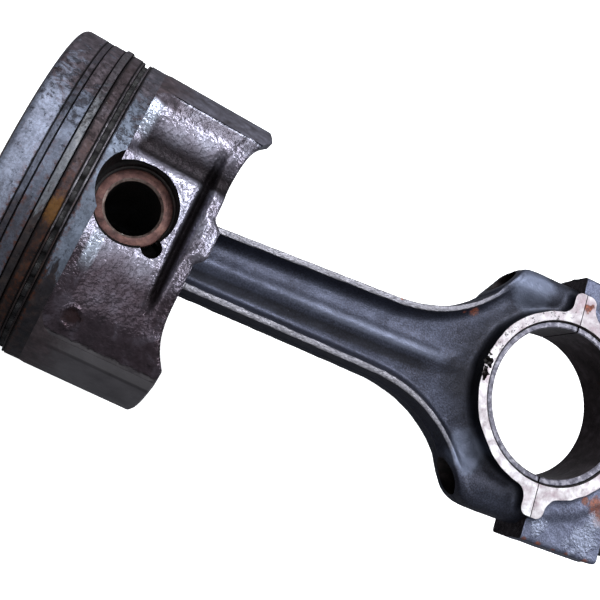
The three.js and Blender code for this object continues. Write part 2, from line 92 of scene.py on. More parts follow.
# piston: recessed sides, inside, pin bore
PANEL_END_X = 18.8
LUG_END_X = 21.3
PANEL_HALF_W = 36.0
PANEL_UPPER_W = 29.2
PANEL_WALL = 3.6
MARK = (-1.2, -30.6)
PAD_Z = 31.7
CAVITY_TOP_X = -24.0
CAVITY_R = 36.4
SKIRT_WALL_R = 39.6
BOSS_R = 16.0
BOSS_INNER_Z = 10.9
BORE_R = 9.98
MOUTH_R = 10.7
NOTCH_R = 2.6
NOTCH_AT = (7.9, -7.9, 0.0)
NOTCH_Z = 22.5

# wrist pin and circlips
PIN_R = 9.9
PIN_HOLE_R = 6.9
PIN_HALF = half_length("wrist_pin")
CLIP_Z = 28.25
CLIP_R = 10.15
CLIP_WIRE_R = 0.7

# connecting rod: eye, beam, big end
EYE_R = 14.8
EYE_HALF = half_length("small_end_bush")
BUSH_R = 11.6
BEAM_START_X = -128.0
FLARE_X = -58.0
BEAM_TOP = 6.7
WEB_TOP = 2.4
HOUSING_R = 25.0
THRUST_HALF = half_length("connecting_rod")
THRUST_R = 28.2
EAR_HALF_W = 3.9
EAR_END_Y = 35.5
EAR_ROUND = 2.4
SEAM = 0.15
BOLT_Y = 31.8
BOLT_R = 4.5
BOLT_BOSS_R = 6.9
BOLT_HOLE_R = 4.75

# bearing shells
SHELL_R = 24.85
SHELL_INNER_R = 23.1
SHELL_HALF = half_length("bearing_shell_upper")
SHELL_SEAM = 0.3

# cap
CAP_THRUST_R = 29.0
CAP_HALF_W = 42.5
CAP_HALF_T = 8.0
CAP_BOSS_X = 28.5
CAP_BOSS_IN_Y = 22.0
CAP_ARCH_R = 34.5


# ---------------------------------------------------------------- shading nodes
def linear(rgb):
    """Display colour, 0 to 255, as the linear colour that shaders use."""
    out = []
    for v in rgb:
        c = v / 255
        out.append(c / 12.92 if c <= 0.04045 else ((c + 0.055) / 1.055) ** 2.4)
    return (*out, 1.0)


def put(tree, node, inputs):
    """Sets inputs of a node to values, or links them to sockets of other nodes."""
    for name, value in inputs.items():
        if isinstance(value, bpy.types.NodeSocket):
            tree.links.new(value, node.inputs[name])
        else:
            node.inputs[name].default_value = value


def add_node(tree, kind, inputs, **settings):
    node = tree.nodes.new("ShaderNode" + kind)
    for name, value in settings.items():
        setattr(node, name, value)
    put(tree, node, inputs)
    return node


class Surface:
    """A material under construction. Lengths in it are millimetres, and colours are display
    colours, 0 to 255. coat() paints over the colour so far and bump() adds to the relief so far."""

    def __init__(self, name, on_piston=False):
        self.material = bpy.data.materials.new(name)
        self.material.use_nodes = True
        self.tree = self.material.node_tree
        self.tree.nodes.clear()
        self.shader = self.node("BsdfPrincipled")
        self.node("OutputMaterial", {"Surface": self.shader.outputs[0]})
        place = {"Vector": self.node("TexCoord").outputs["Object"], "Scale": (MM, MM, MM)}
        if on_piston:
            place["Location"] = [v * MM for v in pin_at]
            place["Rotation"] = (0, 0, PISTON_TURN)
        self.place = self.node("Mapping", place, vector_type="TEXTURE").outputs["Vector"]
        self.x, self.y, self.z = self.node("SeparateXYZ", {0: self.place}).outputs
        self.colour = None
        self.relief = {}

    def node(self, kind, inputs=(), **settings):
        return add_node(self.tree, kind, dict(inputs), **settings)

    def math(self, operation, *values):
        return self.node("Math", enumerate(values), operation=operation).outputs[0]

    def times(self, first, *factors):
        for factor in factors:
            first = self.math("MULTIPLY", first, factor)
        return first

    def plus(self, a, b):
        return self.math("ADD", a, b)

    def minus(self, a, b):
        return self.math("SUBTRACT", a, b)

    def larger(self, a, b):
        return self.math("MAXIMUM", a, b)

    def away(self, a, b):
        """Distance from an axis, from the two offsets across it."""
        return self.math("SQRT", self.plus(self.times(a, a), self.times(b, b)))

    def swayed(self, value, cloud, amount):
        """value moved by up to half the amount either way, as the cloud goes from 0 to 1."""
        return self.math("MULTIPLY_ADD", self.minus(cloud, 0.5), amount, value)

    def scaled(self, x, y, z):
        """The position stretched by a factor along each axis, for streaks."""
        return self.node("VectorMath", {0: self.place, 1: (x, y, z)}, operation="MULTIPLY").outputs[0]

    def noise(self, size, detail=4.0, rough=0.55, vector=None, seed=0.0, distort=0.0):
        inputs = {
            "Vector": self.place if vector is None else vector,
            "W": seed, "Scale": 1 / size, "Detail": detail, "Roughness": rough, "Distortion": distort,
        }
        return self.node("TexNoise", inputs, noise_dimensions="4D").outputs[0]

    def band(self, value, low, high, to_low=0.0, to_high=1.0):
        """value carried from low..high to to_low..to_high along a soft step."""
        inputs = {"Value": value, "From Min": low, "From Max": high, "To Min": to_low, "To Max": to_high}
        return self.node("MapRange", inputs, interpolation_type="SMOOTHSTEP").outputs["Result"]

    def between(self, value, start, full, fall, end):
        """0 up to start, 1 from full to fall, 0 from end on, with soft steps."""
        return self.times(self.band(value, start, full), self.band(value, end, fall))

    def spot(self, x, y, z, radius, ragged=0.5, size=1.5, seed=0.0):
        """1 inside a ragged spot round a place, 0 outside it."""
        centre = self.node("VectorMath", {0: self.place, 1: (x, y, z)}, operation="DISTANCE")
        cloud = self.noise(size, 5, 0.65, seed=seed)
        away = self.swayed(centre.outputs["Value"], cloud, 4 * ragged * radius)
        return self.band(away, radius * 0.55, radius * 1.1, 1.0, 0.0)

    def mix(self, amount, *colours):
        a, b = [linear(c) if isinstance(c, (tuple, list)) else c for c in colours]
        return self.node("Mix", {0: amount, 6: a, 7: b}, data_type="RGBA").outputs[2]

    def ramp(self, value, stops):
        node = self.node("ValToRGB", {0: value})
        elements = node.color_ramp.elements
        while len(elements) < len(stops):
            elements.new(0.5)
        for element, (at, colour) in zip(elements, stops):
            element.position = at
            element.color = linear(colour)
        return node.outputs[0]

    def mottled(self, dark, mid, light, size, seed=0.0, detail=6.0):
        """Cloudy colour between three tones."""
        cloud = self.noise(size, detail, 0.6, seed=seed, distort=0.4)
        return self.ramp(cloud, [(0.32, dark), (0.5, mid), (0.68, light)])

    def coat(self, amount, tone):
        self.colour = self.mix(amount, self.colour, tone)

    def rust(self, spots, seed, ragged):
        """Rusts the spots, each (x, y, z, radius), and returns what is 1 outside them and 0 inside."""
        clear = 1.0
        for i, (x, y, z, radius) in enumerate(spots):
            spot = self.spot(x, y, z, radius, ragged, seed=seed + i)
            cloud = self.noise(0.7, 5, 0.7, seed=seed + 8 + i)
            self.coat(self.times(spot, 0.9), self.ramp(cloud, RUST))
            clear = self.times(self.minus(1.0, spot), clear)
        return clear

    def bump(self, height, depth):
        """Adds a relief of that depth in mm, from a height of 0 to 1."""
        inputs = {"Strength": 1.0, "Distance": depth * MM, "Height": height, **self.relief}
        self.relief = {"Normal": self.node("Bump", inputs).outputs["Normal"]}

    def turning(self, pitch):
        """Fine lines of the lathe, that far apart along the axis of the piston."""
        lines = self.math("SINE", self.times(self.x, 2 * math.pi / pitch))
        self.bump(self.band(lines, -1, 1), 0.004)

    def finish(self, rough, metallic):
        look = {"Base Color": self.colour, "Roughness": rough, "Metallic": metallic, **self.relief}
        put(self.tree, self.shader, look)
        return self.material


RUST = [(0.3, (30, 15, 12)), (0.5, (92, 42, 24)), (0.72, (158, 80, 42))]
# dark tone of painted shade on the rod, in the colour of oil
PAINTED_SHADE_TONE = (16, 15, 18)


def belt_metal(name, tones, seed, span=None, soot=(0.3, 0.3), dirty=0.5, upper=0.6, brown=0.35,
               lines=True, metallic=0.8, rough=0.45, clean_to=-3.0, burnt=None):
    """Turned aluminium or ring iron of the ring belt. span is its reach along x, soot the width of
    the dark band at its two edges, carbon with painted shadow of the gap beside the groove, dirty
    and upper how dark it is far down and far up in y, grime with painted shade, burnt one stain of
    burnt oil as (x, y, radius, tone)."""
    s = Surface(name, on_piston=True)
    s.colour = s.mottled(*tones, size=7.0, seed=seed)
    fine = s.noise(0.7, 6, 0.75, seed=seed + 13)
    s.coat(s.band(fine, 0.4, 0.62, 0, 0.5), [v * 0.62 for v in tones[0]])
    # brown-black grime towards both ends of the visible half, laid on more thickly there as painted shade
    patchy = s.noise(4.0, 7, 0.72, seed=seed + 1, distort=0.6)
    above = s.plus(patchy, s.band(s.y, 2.0, 30.0, -0.12, 0.16))
    upper_grime_and_shade = s.mottled((42, 34, 36), (74, 63, 67), (112, 101, 108), 2.0, seed + 2)
    s.coat(s.band(above, 0.5, 0.6, 0, upper), upper_grime_and_shade)
    drawn = s.noise(2.6, 6, 0.7, vector=s.scaled(1.7, 0.45, 0.45), seed=seed + 6, distort=0.3)
    below = s.plus(drawn, s.band(s.y, clean_to, clean_to - 22.0, -0.12, 0.3))
    lower_grime_and_shade = s.mottled((20, 15, 16), (40, 31, 30), (66, 51, 45), 2.6, seed + 4)
    s.coat(s.band(below, 0.5, 0.62, 0, dirty), lower_grime_and_shade)
    # brown stains, black crust towards both sides, small bare places
    around = s.noise(2.2, 6, 0.7, seed=seed + 3)
    brown_cloud = s.noise(5.0, 5, 0.7, seed=seed + 5, distort=1.0)
    stain = s.band(brown_cloud, 0.66 - 0.2 * brown, 0.76 - 0.15 * brown, 0, 0.7)
    s.coat(stain, s.ramp(around, [(0.3, (30, 22, 23)), (0.55, (62, 46, 44)), (0.8, (96, 74, 66))]))
    crusty = s.band(s.math("ABSOLUTE", s.minus(s.y, 17.0)), 4.0, 16.0, 0.08, 0)
    black = s.band(s.plus(s.noise(1.6, 7, 0.8, seed=seed + 9, distort=0.5), crusty), 0.56, 0.64)
    s.coat(s.times(black, 0.75), (25, 19, 22))
    s.coat(s.band(s.noise(0.9, 3, 0.6, seed=seed + 12), 0.73, 0.76, 0, 0.7), (220, 220, 214))
    dull = s.band(around, 0.3, 0.7, rough - 0.06, rough + 0.16)
    if span:
        ragged = s.noise(0.9, 5, 0.7, seed=seed + 15)
        for at, wide, way in ((span[0], soot[0], 1), (span[1], soot[1], -1)):
            inside = s.swayed(s.times(s.minus(s.x, at), way), ragged, -2.2 * wide)
            seep = s.times(s.band(inside, wide, wide + 1.3, 0.8, 0), s.band(s.y, 8.0, -10.0))
            seep = s.times(seep, s.band(s.noise(1.3, 6, 0.75, seed=seed + 16), 0.45, 0.6))
            s.coat(seep, (84, 46, 28))
            # dark band along each edge: carbon, with painted shadow of the gap beside the groove
            edge = s.band(inside, wide * 0.5, wide * 1.3, 0.92, 0)
            s.coat(edge, (20, 16, 18))
            dull = s.larger(dull, s.times(edge, 0.6))
    if burnt:
        x, y, radius, tone = burnt
        away = s.away(s.minus(s.x, x), s.times(s.minus(s.y, y), 0.45))
        away = s.swayed(away, s.noise(1.4, 6, 0.75, seed=77.0), 5.0)
        tone = s.mix(s.noise(0.8, 5, 0.7, seed=78.0), (40, 24, 14), tone)
        s.coat(s.band(away, radius * 0.4, radius * 1.2, 0.75, 0), tone)
    s.bump(s.noise(0.5, 4, 0.6, seed=seed), 0.03)
    s.bump(black, 0.03)
    if lines:
        s.turning(0.28)
    return s.finish(dull, metallic)


def piston_materials():
    """In the order of the face numbers CROWN to BORE."""
    top = ((100, 102, 116), (132, 138, 156), (160, 167, 188))
    second = ((78, 82, 94), (102, 108, 124), (122, 129, 146))
    third = ((47, 38, 40), (70, 60, 63), (94, 88, 97))
    cool = ((86, 92, 104), (106, 114, 130), (124, 133, 150))
    (a, b), (c, d), (e, f) = GROOVES
    return [
        crown_metal(),
        belt_metal("land_top", top, 1.0, (CROWN_X - 5, a), (0.1, 0.35), dirty=0.3, upper=0.9),
        belt_metal("land_second", second, 2.0, (b, c), (0.3, 0.3), dirty=0.4, upper=0.9),
        belt_metal("land_third", third, 3.0, (d, e), (0.75, 0.35), dirty=0.9, upper=0.75, brown=0.7,
                   burnt=(-15.6, -12.5, 1.9, (128, 88, 36))),
        belt_metal("land_low", cool, 4.0, (f, BELT_END_X + 9), (0.6, 0.1), dirty=0.9, upper=0.75,
                   brown=0.2, clean_to=-13.0),
        groove_metal(),
        skirt_metal(),
        cast_metal("cast_panel", 0.0),
        cast_metal("cast_inside", 6.0, inside=True),
        bore_metal(),
    ]


def crown_metal():
    """Crown: turned face under a dry skin of carbon, washed thinner towards the edge."""
    s = Surface("crown", on_piston=True)
    away = s.away(s.y, s.z)
    cut = s.noise(0.9, 4, 0.7, vector=away, seed=3.0)
    metal = s.ramp(cut, [(0.38, (62, 59, 62)), (0.5, (92, 89, 94)), (0.62, (128, 127, 136))])
    washed = s.plus(s.band(away, 31.0, 41.0, 0, -0.13), s.band(away, 6.0, 0.0, 0, -0.05))
    skin = s.plus(s.noise(8.0, 9, 0.74, seed=2.0, distort=0.3), washed)
    soot = s.band(s.swayed(skin, cut, 0.16), 0.34, 0.5, 0.2, 0.95)
    grain = s.noise(0.8, 6, 0.75, seed=7.0)
    black = s.ramp(grain, [(0.34, (24, 21, 21)), (0.5, (50, 45, 45)), (0.66, (86, 78, 74))])
    ash = s.band(s.noise(3.2, 8, 0.75, seed=6.0), 0.58, 0.7, 0, 0.5)
    s.colour = s.mix(soot, metal, s.mix(ash, black, (96, 82, 70)))
    s.bump(s.times(grain, soot), 0.22)
    s.bump(cut, 0.02)
    return s.finish(s.band(soot, 0, 1, 0.36, 0.74), s.band(soot, 0, 1, 0.85, 0.15))


def groove_metal():
    """Ring grooves: baked oil over dark metal."""
    s = Surface("groove", on_piston=True)
    s.colour = s.mottled((8, 6, 7), (18, 14, 16), (40, 31, 33), 1.8, 3.0)
    amber = s.band(s.noise(6.0, 4, 0.6, seed=21.0), 0.6, 0.72, 0, 0.5)
    s.coat(amber, (80, 50, 24))
    s.bump(s.noise(0.7, 5, 0.65), 0.12)
    return s.finish(s.band(s.noise(1.5, 4), 0.35, 0.65, 0.4, 0.7), 0.2)


def skirt_metal():
    """Thrust skirt: grey dry-film coating with fine turning lines and faint drag marks."""
    s = Surface("skirt", on_piston=True)
    s.colour = s.mottled((80, 77, 81), (92, 89, 93), (104, 101, 105), 9.0, 4.0)
    streak = s.noise(1.4, 4, 0.6, vector=s.scaled(0.07, 1, 1), seed=8.0)
    s.coat(s.band(streak, 0.55, 0.75, 0, 0.4), (116, 113, 116))
    # painted highlight on a band of the skirt below the recessed side, with a painted shadow line along its
    # outer edge
    ledge_highlight = s.between(s.y, -38.2, -37.8, -35.0, -32.0)
    s.coat(s.times(ledge_highlight, 0.35), (122, 118, 120))
    crease_shadow = s.between(s.y, -38.6, -38.3, -38.0, -37.7)
    s.coat(s.times(crease_shadow, 0.55), (40, 37, 40))
    brown = s.mottled((48, 44, 49), (76, 74, 84), (104, 103, 116), 3.0, 11.0)
    s.coat(s.band(s.y, 6.0, 24.0), brown)
    start = s.plus(s.x, s.times(s.noise(4.0, 6, 0.7, seed=19.0), 14.0))
    brown = s.mottled((36, 27, 30), (58, 46, 50), (84, 70, 74), 2.4, 12.0)
    s.coat(s.band(start, BELT_END_X + 9, BELT_END_X + 19, 0.85, 0), brown)
    dirt = s.band(s.noise(2.0, 6, 0.7, seed=15.0), 0.64, 0.74, 0, 0.6)
    s.coat(dirt, (34, 30, 33))
    speck = s.band(s.noise(0.6, 3, 0.5, seed=16.0), 0.73, 0.77, 0, 0.4)
    s.coat(speck, (150, 148, 150))
    s.turning(0.35)
    s.bump(s.noise(0.4, 3, 0.6), 0.012)
    return s.finish(s.band(s.noise(3.0, 4), 0.3, 0.7, 0.46, 0.62), 0.5)


def cast_metal(name, seed, inside=False):
    """As-cast aluminium: pebbled skin with an oily brown film, on the outer sides also painted shade in the
    hollows.
    """
    s = Surface(name, on_piston=True)
    pebble = s.noise(0.84, 1.6, 0.5, seed=seed + 7, distort=0.3)
    if inside:
        s.colour = s.mottled((34, 28, 28), (56, 50, 53), (82, 78, 83), 6.0, seed)
        film = s.band(s.noise(3.5, 6, 0.7, seed=seed + 4, distort=0.6), 0.5, 0.72, 0, 0.5)
    else:
        film = outer_casting(s, seed)
    # the dark film: oil, and on the outer sides painted shade too
    s.coat(film, (16, 10, 12))
    # dark between the grains
    s.coat(s.band(pebble, 0.54, 0.34, 0, 0.3), (40, 32, 37))
    rough = s.band(film, 0, 1, 0.3, 0.46)
    if not inside:
        # oily centre of the casting mark
        mark = s.spot(*MARK, 27.6, 2.6, 0.35, 1.5, seed=4.0)
        s.coat(s.times(mark, 0.7), (44, 26, 24))
        # darker and duller in the corner between belt and upper skirt
        corner = s.band(s.x, BELT_END_X + 8.5, BELT_END_X + 5.5)
        corner = s.times(corner, s.band(s.y, 24.4, 26.2))
        corner = s.times(corner, s.band(s.noise(1.6, 6, 0.7, seed=36.0), 0.3, 0.5, 0.5, 1.0))
        s.coat(s.times(corner, 0.9), s.mottled((34, 28, 31), (58, 50, 56), (88, 82, 90), 1.8, 5.0))
        # dull turned band between the casting and the lower skirt
        ragged = s.math("MULTIPLY_ADD", s.noise(1.2, 4, 0.6, seed=3.0), 1.4, s.y)
        rim = s.band(ragged, -34.0, -34.6)
        s.coat(rim, s.mottled((66, 62, 66), (84, 80, 83), (98, 95, 98), 5.0, 8.0))
        rough = s.larger(s.larger(rough, s.times(corner, 0.62)), s.times(rim, 0.55))
        pebble = s.times(pebble, s.minus(1.0, rim))
    s.bump(pebble, 0.27)
    s.bump(s.noise(2.0, 2, 0.5, seed=seed + 11), 0.07)
    return s.finish(rough, 0.85)


def outer_casting(s, seed):
    """Colours of the recessed sides of the piston. Returns how thick the dark film on them is: oil, with
    painted shade in the hollows and along the upper edge.
    """
    s.colour = s.mottled((96, 90, 100), (124, 121, 134), (148, 148, 163), 7.0, seed)
    # darker towards -y: painted shade on the side that faces away from the light; the same dark tone on the
    # lug below its middle
    lower = s.mottled((34, 25, 29), (56, 46, 52), (80, 73, 82), 4.0, seed + 2)
    s.coat(s.band(s.y, -9.0, -19.0, 0, 0.95), lower)
    lug = s.times(s.band(s.x, 15.0, 16.6), s.band(s.y, 1.5, -4.0))
    s.coat(s.times(lug, 0.55), lower)
    film = s.band(s.noise(3.0, 6, 0.7, seed=seed + 4, distort=0.6), 0.5, 0.72, 0, 0.45)
    # oil and painted shade lie dark in the hollow beside the boss face and in the valley across the side
    hollow = s.between(s.y, 11.6, 13.2, 16.5, 22.5)
    hollow = s.times(hollow, s.band(s.x, BELT_END_X + 0.3, BELT_END_X + 2.5))
    across = s.between(s.x, 11.2, 12.8, 14.2, 15.3)
    across = s.times(across, s.band(s.math("ABSOLUTE", s.y), 24.0, 17.0))
    film = s.larger(film, s.times(s.larger(hollow, across), 0.97))
    # painted shade along the upper edge of the side, below the skirt
    ragged = s.math("MULTIPLY_ADD", s.noise(2.5, 5, 0.7, seed=9.0), 3.0, s.y)
    film = s.larger(film, s.times(s.band(ragged, 25.6, 28.0, 0, 0.6), s.band(s.x, -3.0, 1.0, 0.8, 1.0)))
    # painted highlight where the side curves up to the belt, low on the side and near its upper end; the film
    # is left off there
    fillet_highlight = s.between(s.x, BELT_END_X + 1.4, BELT_END_X + 2.6, BELT_END_X + 4.2, BELT_END_X + 5.4)
    fillet_highlight = s.times(fillet_highlight, s.between(s.y, -21.0, -14.5, -13.0, -8.0))
    top_end_highlight = s.times(s.band(s.x, BELT_END_X + 3.6, BELT_END_X + 2.0), s.between(s.y, 15.0, 19.0, 24.6, 26.4))
    fillet_highlight = s.larger(fillet_highlight, s.times(top_end_highlight, 0.9))
    fillet_highlight = s.times(fillet_highlight, s.band(s.noise(1.5, 5, 0.7, seed=33.0), 0.35, 0.55, 0.4, 0.9))
    s.coat(fillet_highlight, (172, 180, 196))
    # painted highlight along the edge of the upper skirt, as metal worn bright
    worn = s.times(s.band(s.y, 28.4, 28.8), s.band(s.noise(1.8, 5, 0.7, seed=35.0), 0.36, 0.5, 0.15, 0.6))
    s.coat(worn, (150, 152, 166))
    return s.times(film, s.minus(1.0, worn), s.minus(1.0, fillet_highlight))


def bore_metal():
    """Pin bore and clip groove: honed metal with brown varnish, painted near black as the shade inside the
    bore.
    """
    s = Surface("bore", on_piston=True)
    s.colour = s.mottled((4, 3, 3), (8, 6, 7), (20, 15, 15), 2.4, 6.0)
    lines = s.noise(0.5, 3, 0.6, vector=s.scaled(1, 1, 0.1))
    s.bump(lines, 0.02)
    s.shader.inputs["Specular IOR Level"].default_value = 0.12
    return s.finish(s.band(lines, 0.3, 0.7, 0.55, 0.75), 0.0)


def forged_steel(name, tones, seed, rust_spots=(), rough_patch=(), pale=(), oily=(), beam=False):
    """Forged and shot-blasted steel with a blue-black oxide, dry oil and a few rust spots; pale spots
    are painted highlights and oily ones painted shade. beam adds what only the rod's beam has: worn
    rails, painted shade below the rib and a painted highlight on its crest, and a dark band round
    the big end, soot with painted shade at the foot of the thrust rim."""
    s = Surface(name)
    s.colour = s.mottled(*tones, size=16.0, seed=seed, detail=5.0)
    sand = s.noise(0.5, 3, 0.6, seed=seed + 2)
    s.coat(s.band(sand, 0.4, 0.65, 0, 0.4), [min(255, v * 1.45) for v in tones[2]])
    if beam:
        rail = s.times(s.band(s.math("ABSOLUTE", s.z), 6.1, 6.5), s.band(s.x, -24.0, -34.0))
        edge = s.times(rail, s.band(s.noise(0.8, 5, 0.7, seed=seed + 4), 0.3, 0.55, 0.35, 1.0))
        s.coat(s.times(edge, 0.7), (132, 130, 136))
        # painted shade in the trough below the rib, and a painted highlight on the rib's crest
        shade = s.times(s.between(s.y, -6.4, -4.8, -3.2, -2.0), s.band(s.x, -36.0, -48.0, 0, 0.7))
        s.coat(shade, PAINTED_SHADE_TONE)
        rib_highlight = s.times(s.between(s.y, -1.8, -0.8, 0.8, 2.6), s.band(s.x, -110.0, -60.0, 0, 0.3))
        s.coat(s.times(rib_highlight, s.band(s.x, -34.0, -46.0)), (120, 126, 146))
    # pale spots: painted highlights
    for x, y, z, radius, amount in pale:
        worn = s.spot(x, y, z, radius, 0.3, 5.0, seed=seed + 30)
        s.coat(s.times(worn, amount), (120, 128, 150))
    # oily spots: painted shade in the tone of oil
    for x, y, z, radius in oily:
        wet = s.spot(x, y, z, radius, 0.3, 4.0, seed=seed + 31)
        s.coat(s.times(wet, 0.5), PAINTED_SHADE_TONE)
    if beam:
        # dark band round the big end, darkest at the foot of the thrust rim: soot, and painted shade
        s.coat(s.band(s.away(s.x, s.y), THRUST_R + 0.8, THRUST_R + 11.8, 0.65, 0), (13, 11, 13))
    speck = s.band(s.noise(0.5, 2, 0.5, seed=seed + 5), 0.75, 0.79, 0, 0.5)
    s.coat(speck, (150, 150, 160))
    dirt = s.band(s.noise(1.6, 6, 0.7, seed=seed + 6), 0.64, 0.76, 0, 0.5)
    s.coat(dirt, (24, 20, 24))
    metallic = s.times(0.8, s.rust(rust_spots, seed, 0.32))
    s.bump(sand, 0.09)
    if beam:
        s.bump(s.times(s.noise(0.9, 2, 0.5, seed=seed + 13), rail), 0.3)
    s.bump(s.noise(1.3, 2, 0.5, seed=seed + 10), 0.06)
    for x, y, z, radius in rough_patch:
        patch = s.spot(x, y, z, radius, 0.9, 3.5, seed=seed + 20)
        s.bump(s.times(s.noise(1.0, 2, 0.5, seed=seed + 21), patch), 0.4)
        s.coat(s.times(patch, 0.6), (128, 134, 152))
    return s.finish(s.band(s.noise(5.0, 4, seed=seed + 12), 0.3, 0.7, 0.36, 0.5), metallic)


def thrust_metal(name, seed):
    """Ground thrust face: pale, with pinkish heat bloom, grey wipes, nicks, dark specks and rust
    on the ear."""
    s = Surface(name)
    s.colour = s.mottled((138, 126, 132), (192, 186, 190), (230, 230, 233), 3.2, seed)
    grey = s.mottled((108, 98, 102), (150, 142, 147), (192, 188, 192), 2.4, seed + 6)
    s.coat(s.band(s.y, 8.0, 26.0, 0, 0.6), grey)
    bloom = s.band(s.noise(5.0, 4, 0.6, seed=seed + 1), 0.48, 0.66, 0, 0.5)
    s.coat(bloom, (146, 122, 132))
    smear = s.band(s.noise(1.8, 6, 0.75, seed=seed + 5, distort=0.8), 0.56, 0.7, 0, 0.5)
    s.coat(smear, (96, 84, 88))
    corner = s.times(s.band(s.x, 4.0, -6.0), s.band(s.y, 2.0, 12.0))
    cloud = s.math("MULTIPLY_ADD", corner, 0.08, s.noise(0.9, 5, 0.75, seed=seed + 2))
    nick = s.band(cloud, 0.63, 0.69)
    s.coat(s.times(nick, 0.85), (44, 38, 42))
    s.rust(RUST_ON_EARS, seed, 0.5)
    swirl = s.noise(0.35, 3, 0.6, vector=s.scaled(1, 0.15, 1), seed=seed)
    s.bump(swirl, 0.015)
    s.bump(nick, 0.05)
    return s.finish(s.band(swirl, 0.3, 0.7, 0.34, 0.5), 0.75)


def dark_metal(name, tones, size, rough=(0.35, 0.6), metallic=0.6, seed=0.0, on_piston=False,
               stretch=(1, 1, 1), depth=0.03):
    """Dark worn metal of holes, fracture faces and hidden walls."""
    s = Surface(name, on_piston=on_piston)
    s.colour = s.mottled(*tones, size=size, seed=seed)
    grain = s.noise(0.6, 4, 0.6, vector=s.scaled(*stretch), seed=seed + 1)
    s.bump(grain, depth)
    return s.finish(s.band(grain, 0.3, 0.7, *rough), metallic)


def shell_metal(name, seed):
    """Bearing shell back and edges: silver-lilac plating, worn."""
    s = Surface(name)
    s.colour = s.mottled((70, 68, 78), (120, 118, 130), (182, 180, 190), 1.6, seed)
    nick = s.band(s.noise(1.2, 5, 0.75, seed=seed + 2), 0.66, 0.72, 0, 0.7)
    s.coat(nick, (50, 44, 50))
    s.bump(s.noise(0.5, 3, 0.6, seed=seed), 0.02)
    return s.finish(0.34, 0.9)


def shell_face_metal(name, seed):
    """Running face of a shell: dark overlay with wipe marks round the journal and brown oil."""
    s = Surface(name)
    s.colour = s.mottled((44, 37, 37), (68, 59, 60), (100, 90, 94), 5.0, seed)
    wipe = s.noise(0.5, 4, 0.6, vector=s.scaled(0.12, 0.12, 1.0), seed=seed + 1)
    s.coat(s.band(wipe, 0.55, 0.72, 0, 0.4), (84, 78, 86))
    oil = s.band(s.noise(3.0, 5, 0.7, seed=seed + 3), 0.6, 0.7, 0, 0.6)
    s.coat(oil, (58, 36, 28))
    s.bump(wipe, 0.012)
    return s.finish(s.band(wipe, 0.3, 0.7, 0.26, 0.42), 0.85)


def rust_metal(name, seed, tones):
    """Steel with an even brown rust bloom."""
    s = Surface(name, on_piston=True)
    s.colour = s.mottled(*tones, 2.2, seed)
    deep = s.band(s.noise(0.9, 6, 0.75, seed=seed + 1), 0.6, 0.72, 0, 0.6)
    s.coat(deep, (46, 24, 20))
    fresh = s.band(s.noise(1.6, 5, 0.7, seed=seed + 2), 0.64, 0.74, 0, 0.5)
    s.coat(fresh, (134, 84, 60))
    crumb = s.band(s.noise(0.45, 3, 0.6, seed=seed + 3), 0.58, 0.68, 0, 0.5)
    s.coat(crumb, (34, 20, 18))
    s.bump(s.noise(0.5, 5, 0.65, seed=seed), 0.09)
    return s.finish(s.band(s.noise(1.0, 4, seed=seed), 0.3, 0.7, 0.5, 0.72), 0.35)


def ring_metal(name, tones, seed, brown, dirty):
    """Cast-iron ring: worn running face, dark stains."""
    return belt_metal(name, tones, seed, dirty=dirty, brown=brown, lines=False, metallic=0.85, rough=0.42)


# ---------------------------------------------------------------- fields and meshes
def smax(a, b, k):
    """Larger of two fields, rounded over a width k."""
    h = np.maximum(k - np.abs(a - b), 0) / k
    return np.maximum(a, b) + h * h * k * 0.25


def smin(a, b, k):
    """Smaller of two fields, rounded over a width k."""
    return -smax(-a, -b, k)


def step01(t):
    """Soft step from 0 to 1 as t goes from 0 to 1."""
    t = np.clip(t, 0, 1)
    return t * t * (3 - 2 * t)


def lumps(x, y, z, size, seed):
    """Soft irregular relief of about unit height with lumps of that size: a sum of random waves."""
    count = 14
    rng = np.random.default_rng(seed)
    total = 0.0
    for _ in range(count):
        d = rng.normal(size=3)
        d *= 2 * math.pi / (np.linalg.norm(d) * size * rng.uniform(0.7, 1.7))
        total = total + np.sin(x * d[0] + y * d[1] + z * d[2] + rng.uniform(0, 2 * math.pi))
    return total / math.sqrt(count)


def line_distance(x, y, points):
    """Distance from (x, y) to a polyline."""
    best = np.full(np.broadcast(x, y).shape, 1e9)
    for (ax, ay), (bx, by) in zip(points[:-1], points[1:]):
        ex, ey = bx - ax, by - ay
        t = np.clip(((x - ax) * ex + (y - ay) * ey) / (ex * ex + ey * ey), 0, 1)
        best = np.minimum(best, (x - ax - t * ex) ** 2 + (y - ay - t * ey) ** 2)
    return np.sqrt(best)


def interp(at, points):
    """Height at a place along points of (place, height)."""
    places, heights = zip(*points)
    return np.interp(at, places, heights)


def bezier(points, steps):
    """Points of a Bezier curve of any degree, its first one left out."""
    out = []
    for i in range(1, steps + 1):
        t = i / steps
        row = [np.array(p, float) for p in points]
        while len(row) > 1:
            row = [a + (b - a) * t for a, b in zip(row[:-1], row[1:])]
        out.append(tuple(row[0]))
    return out


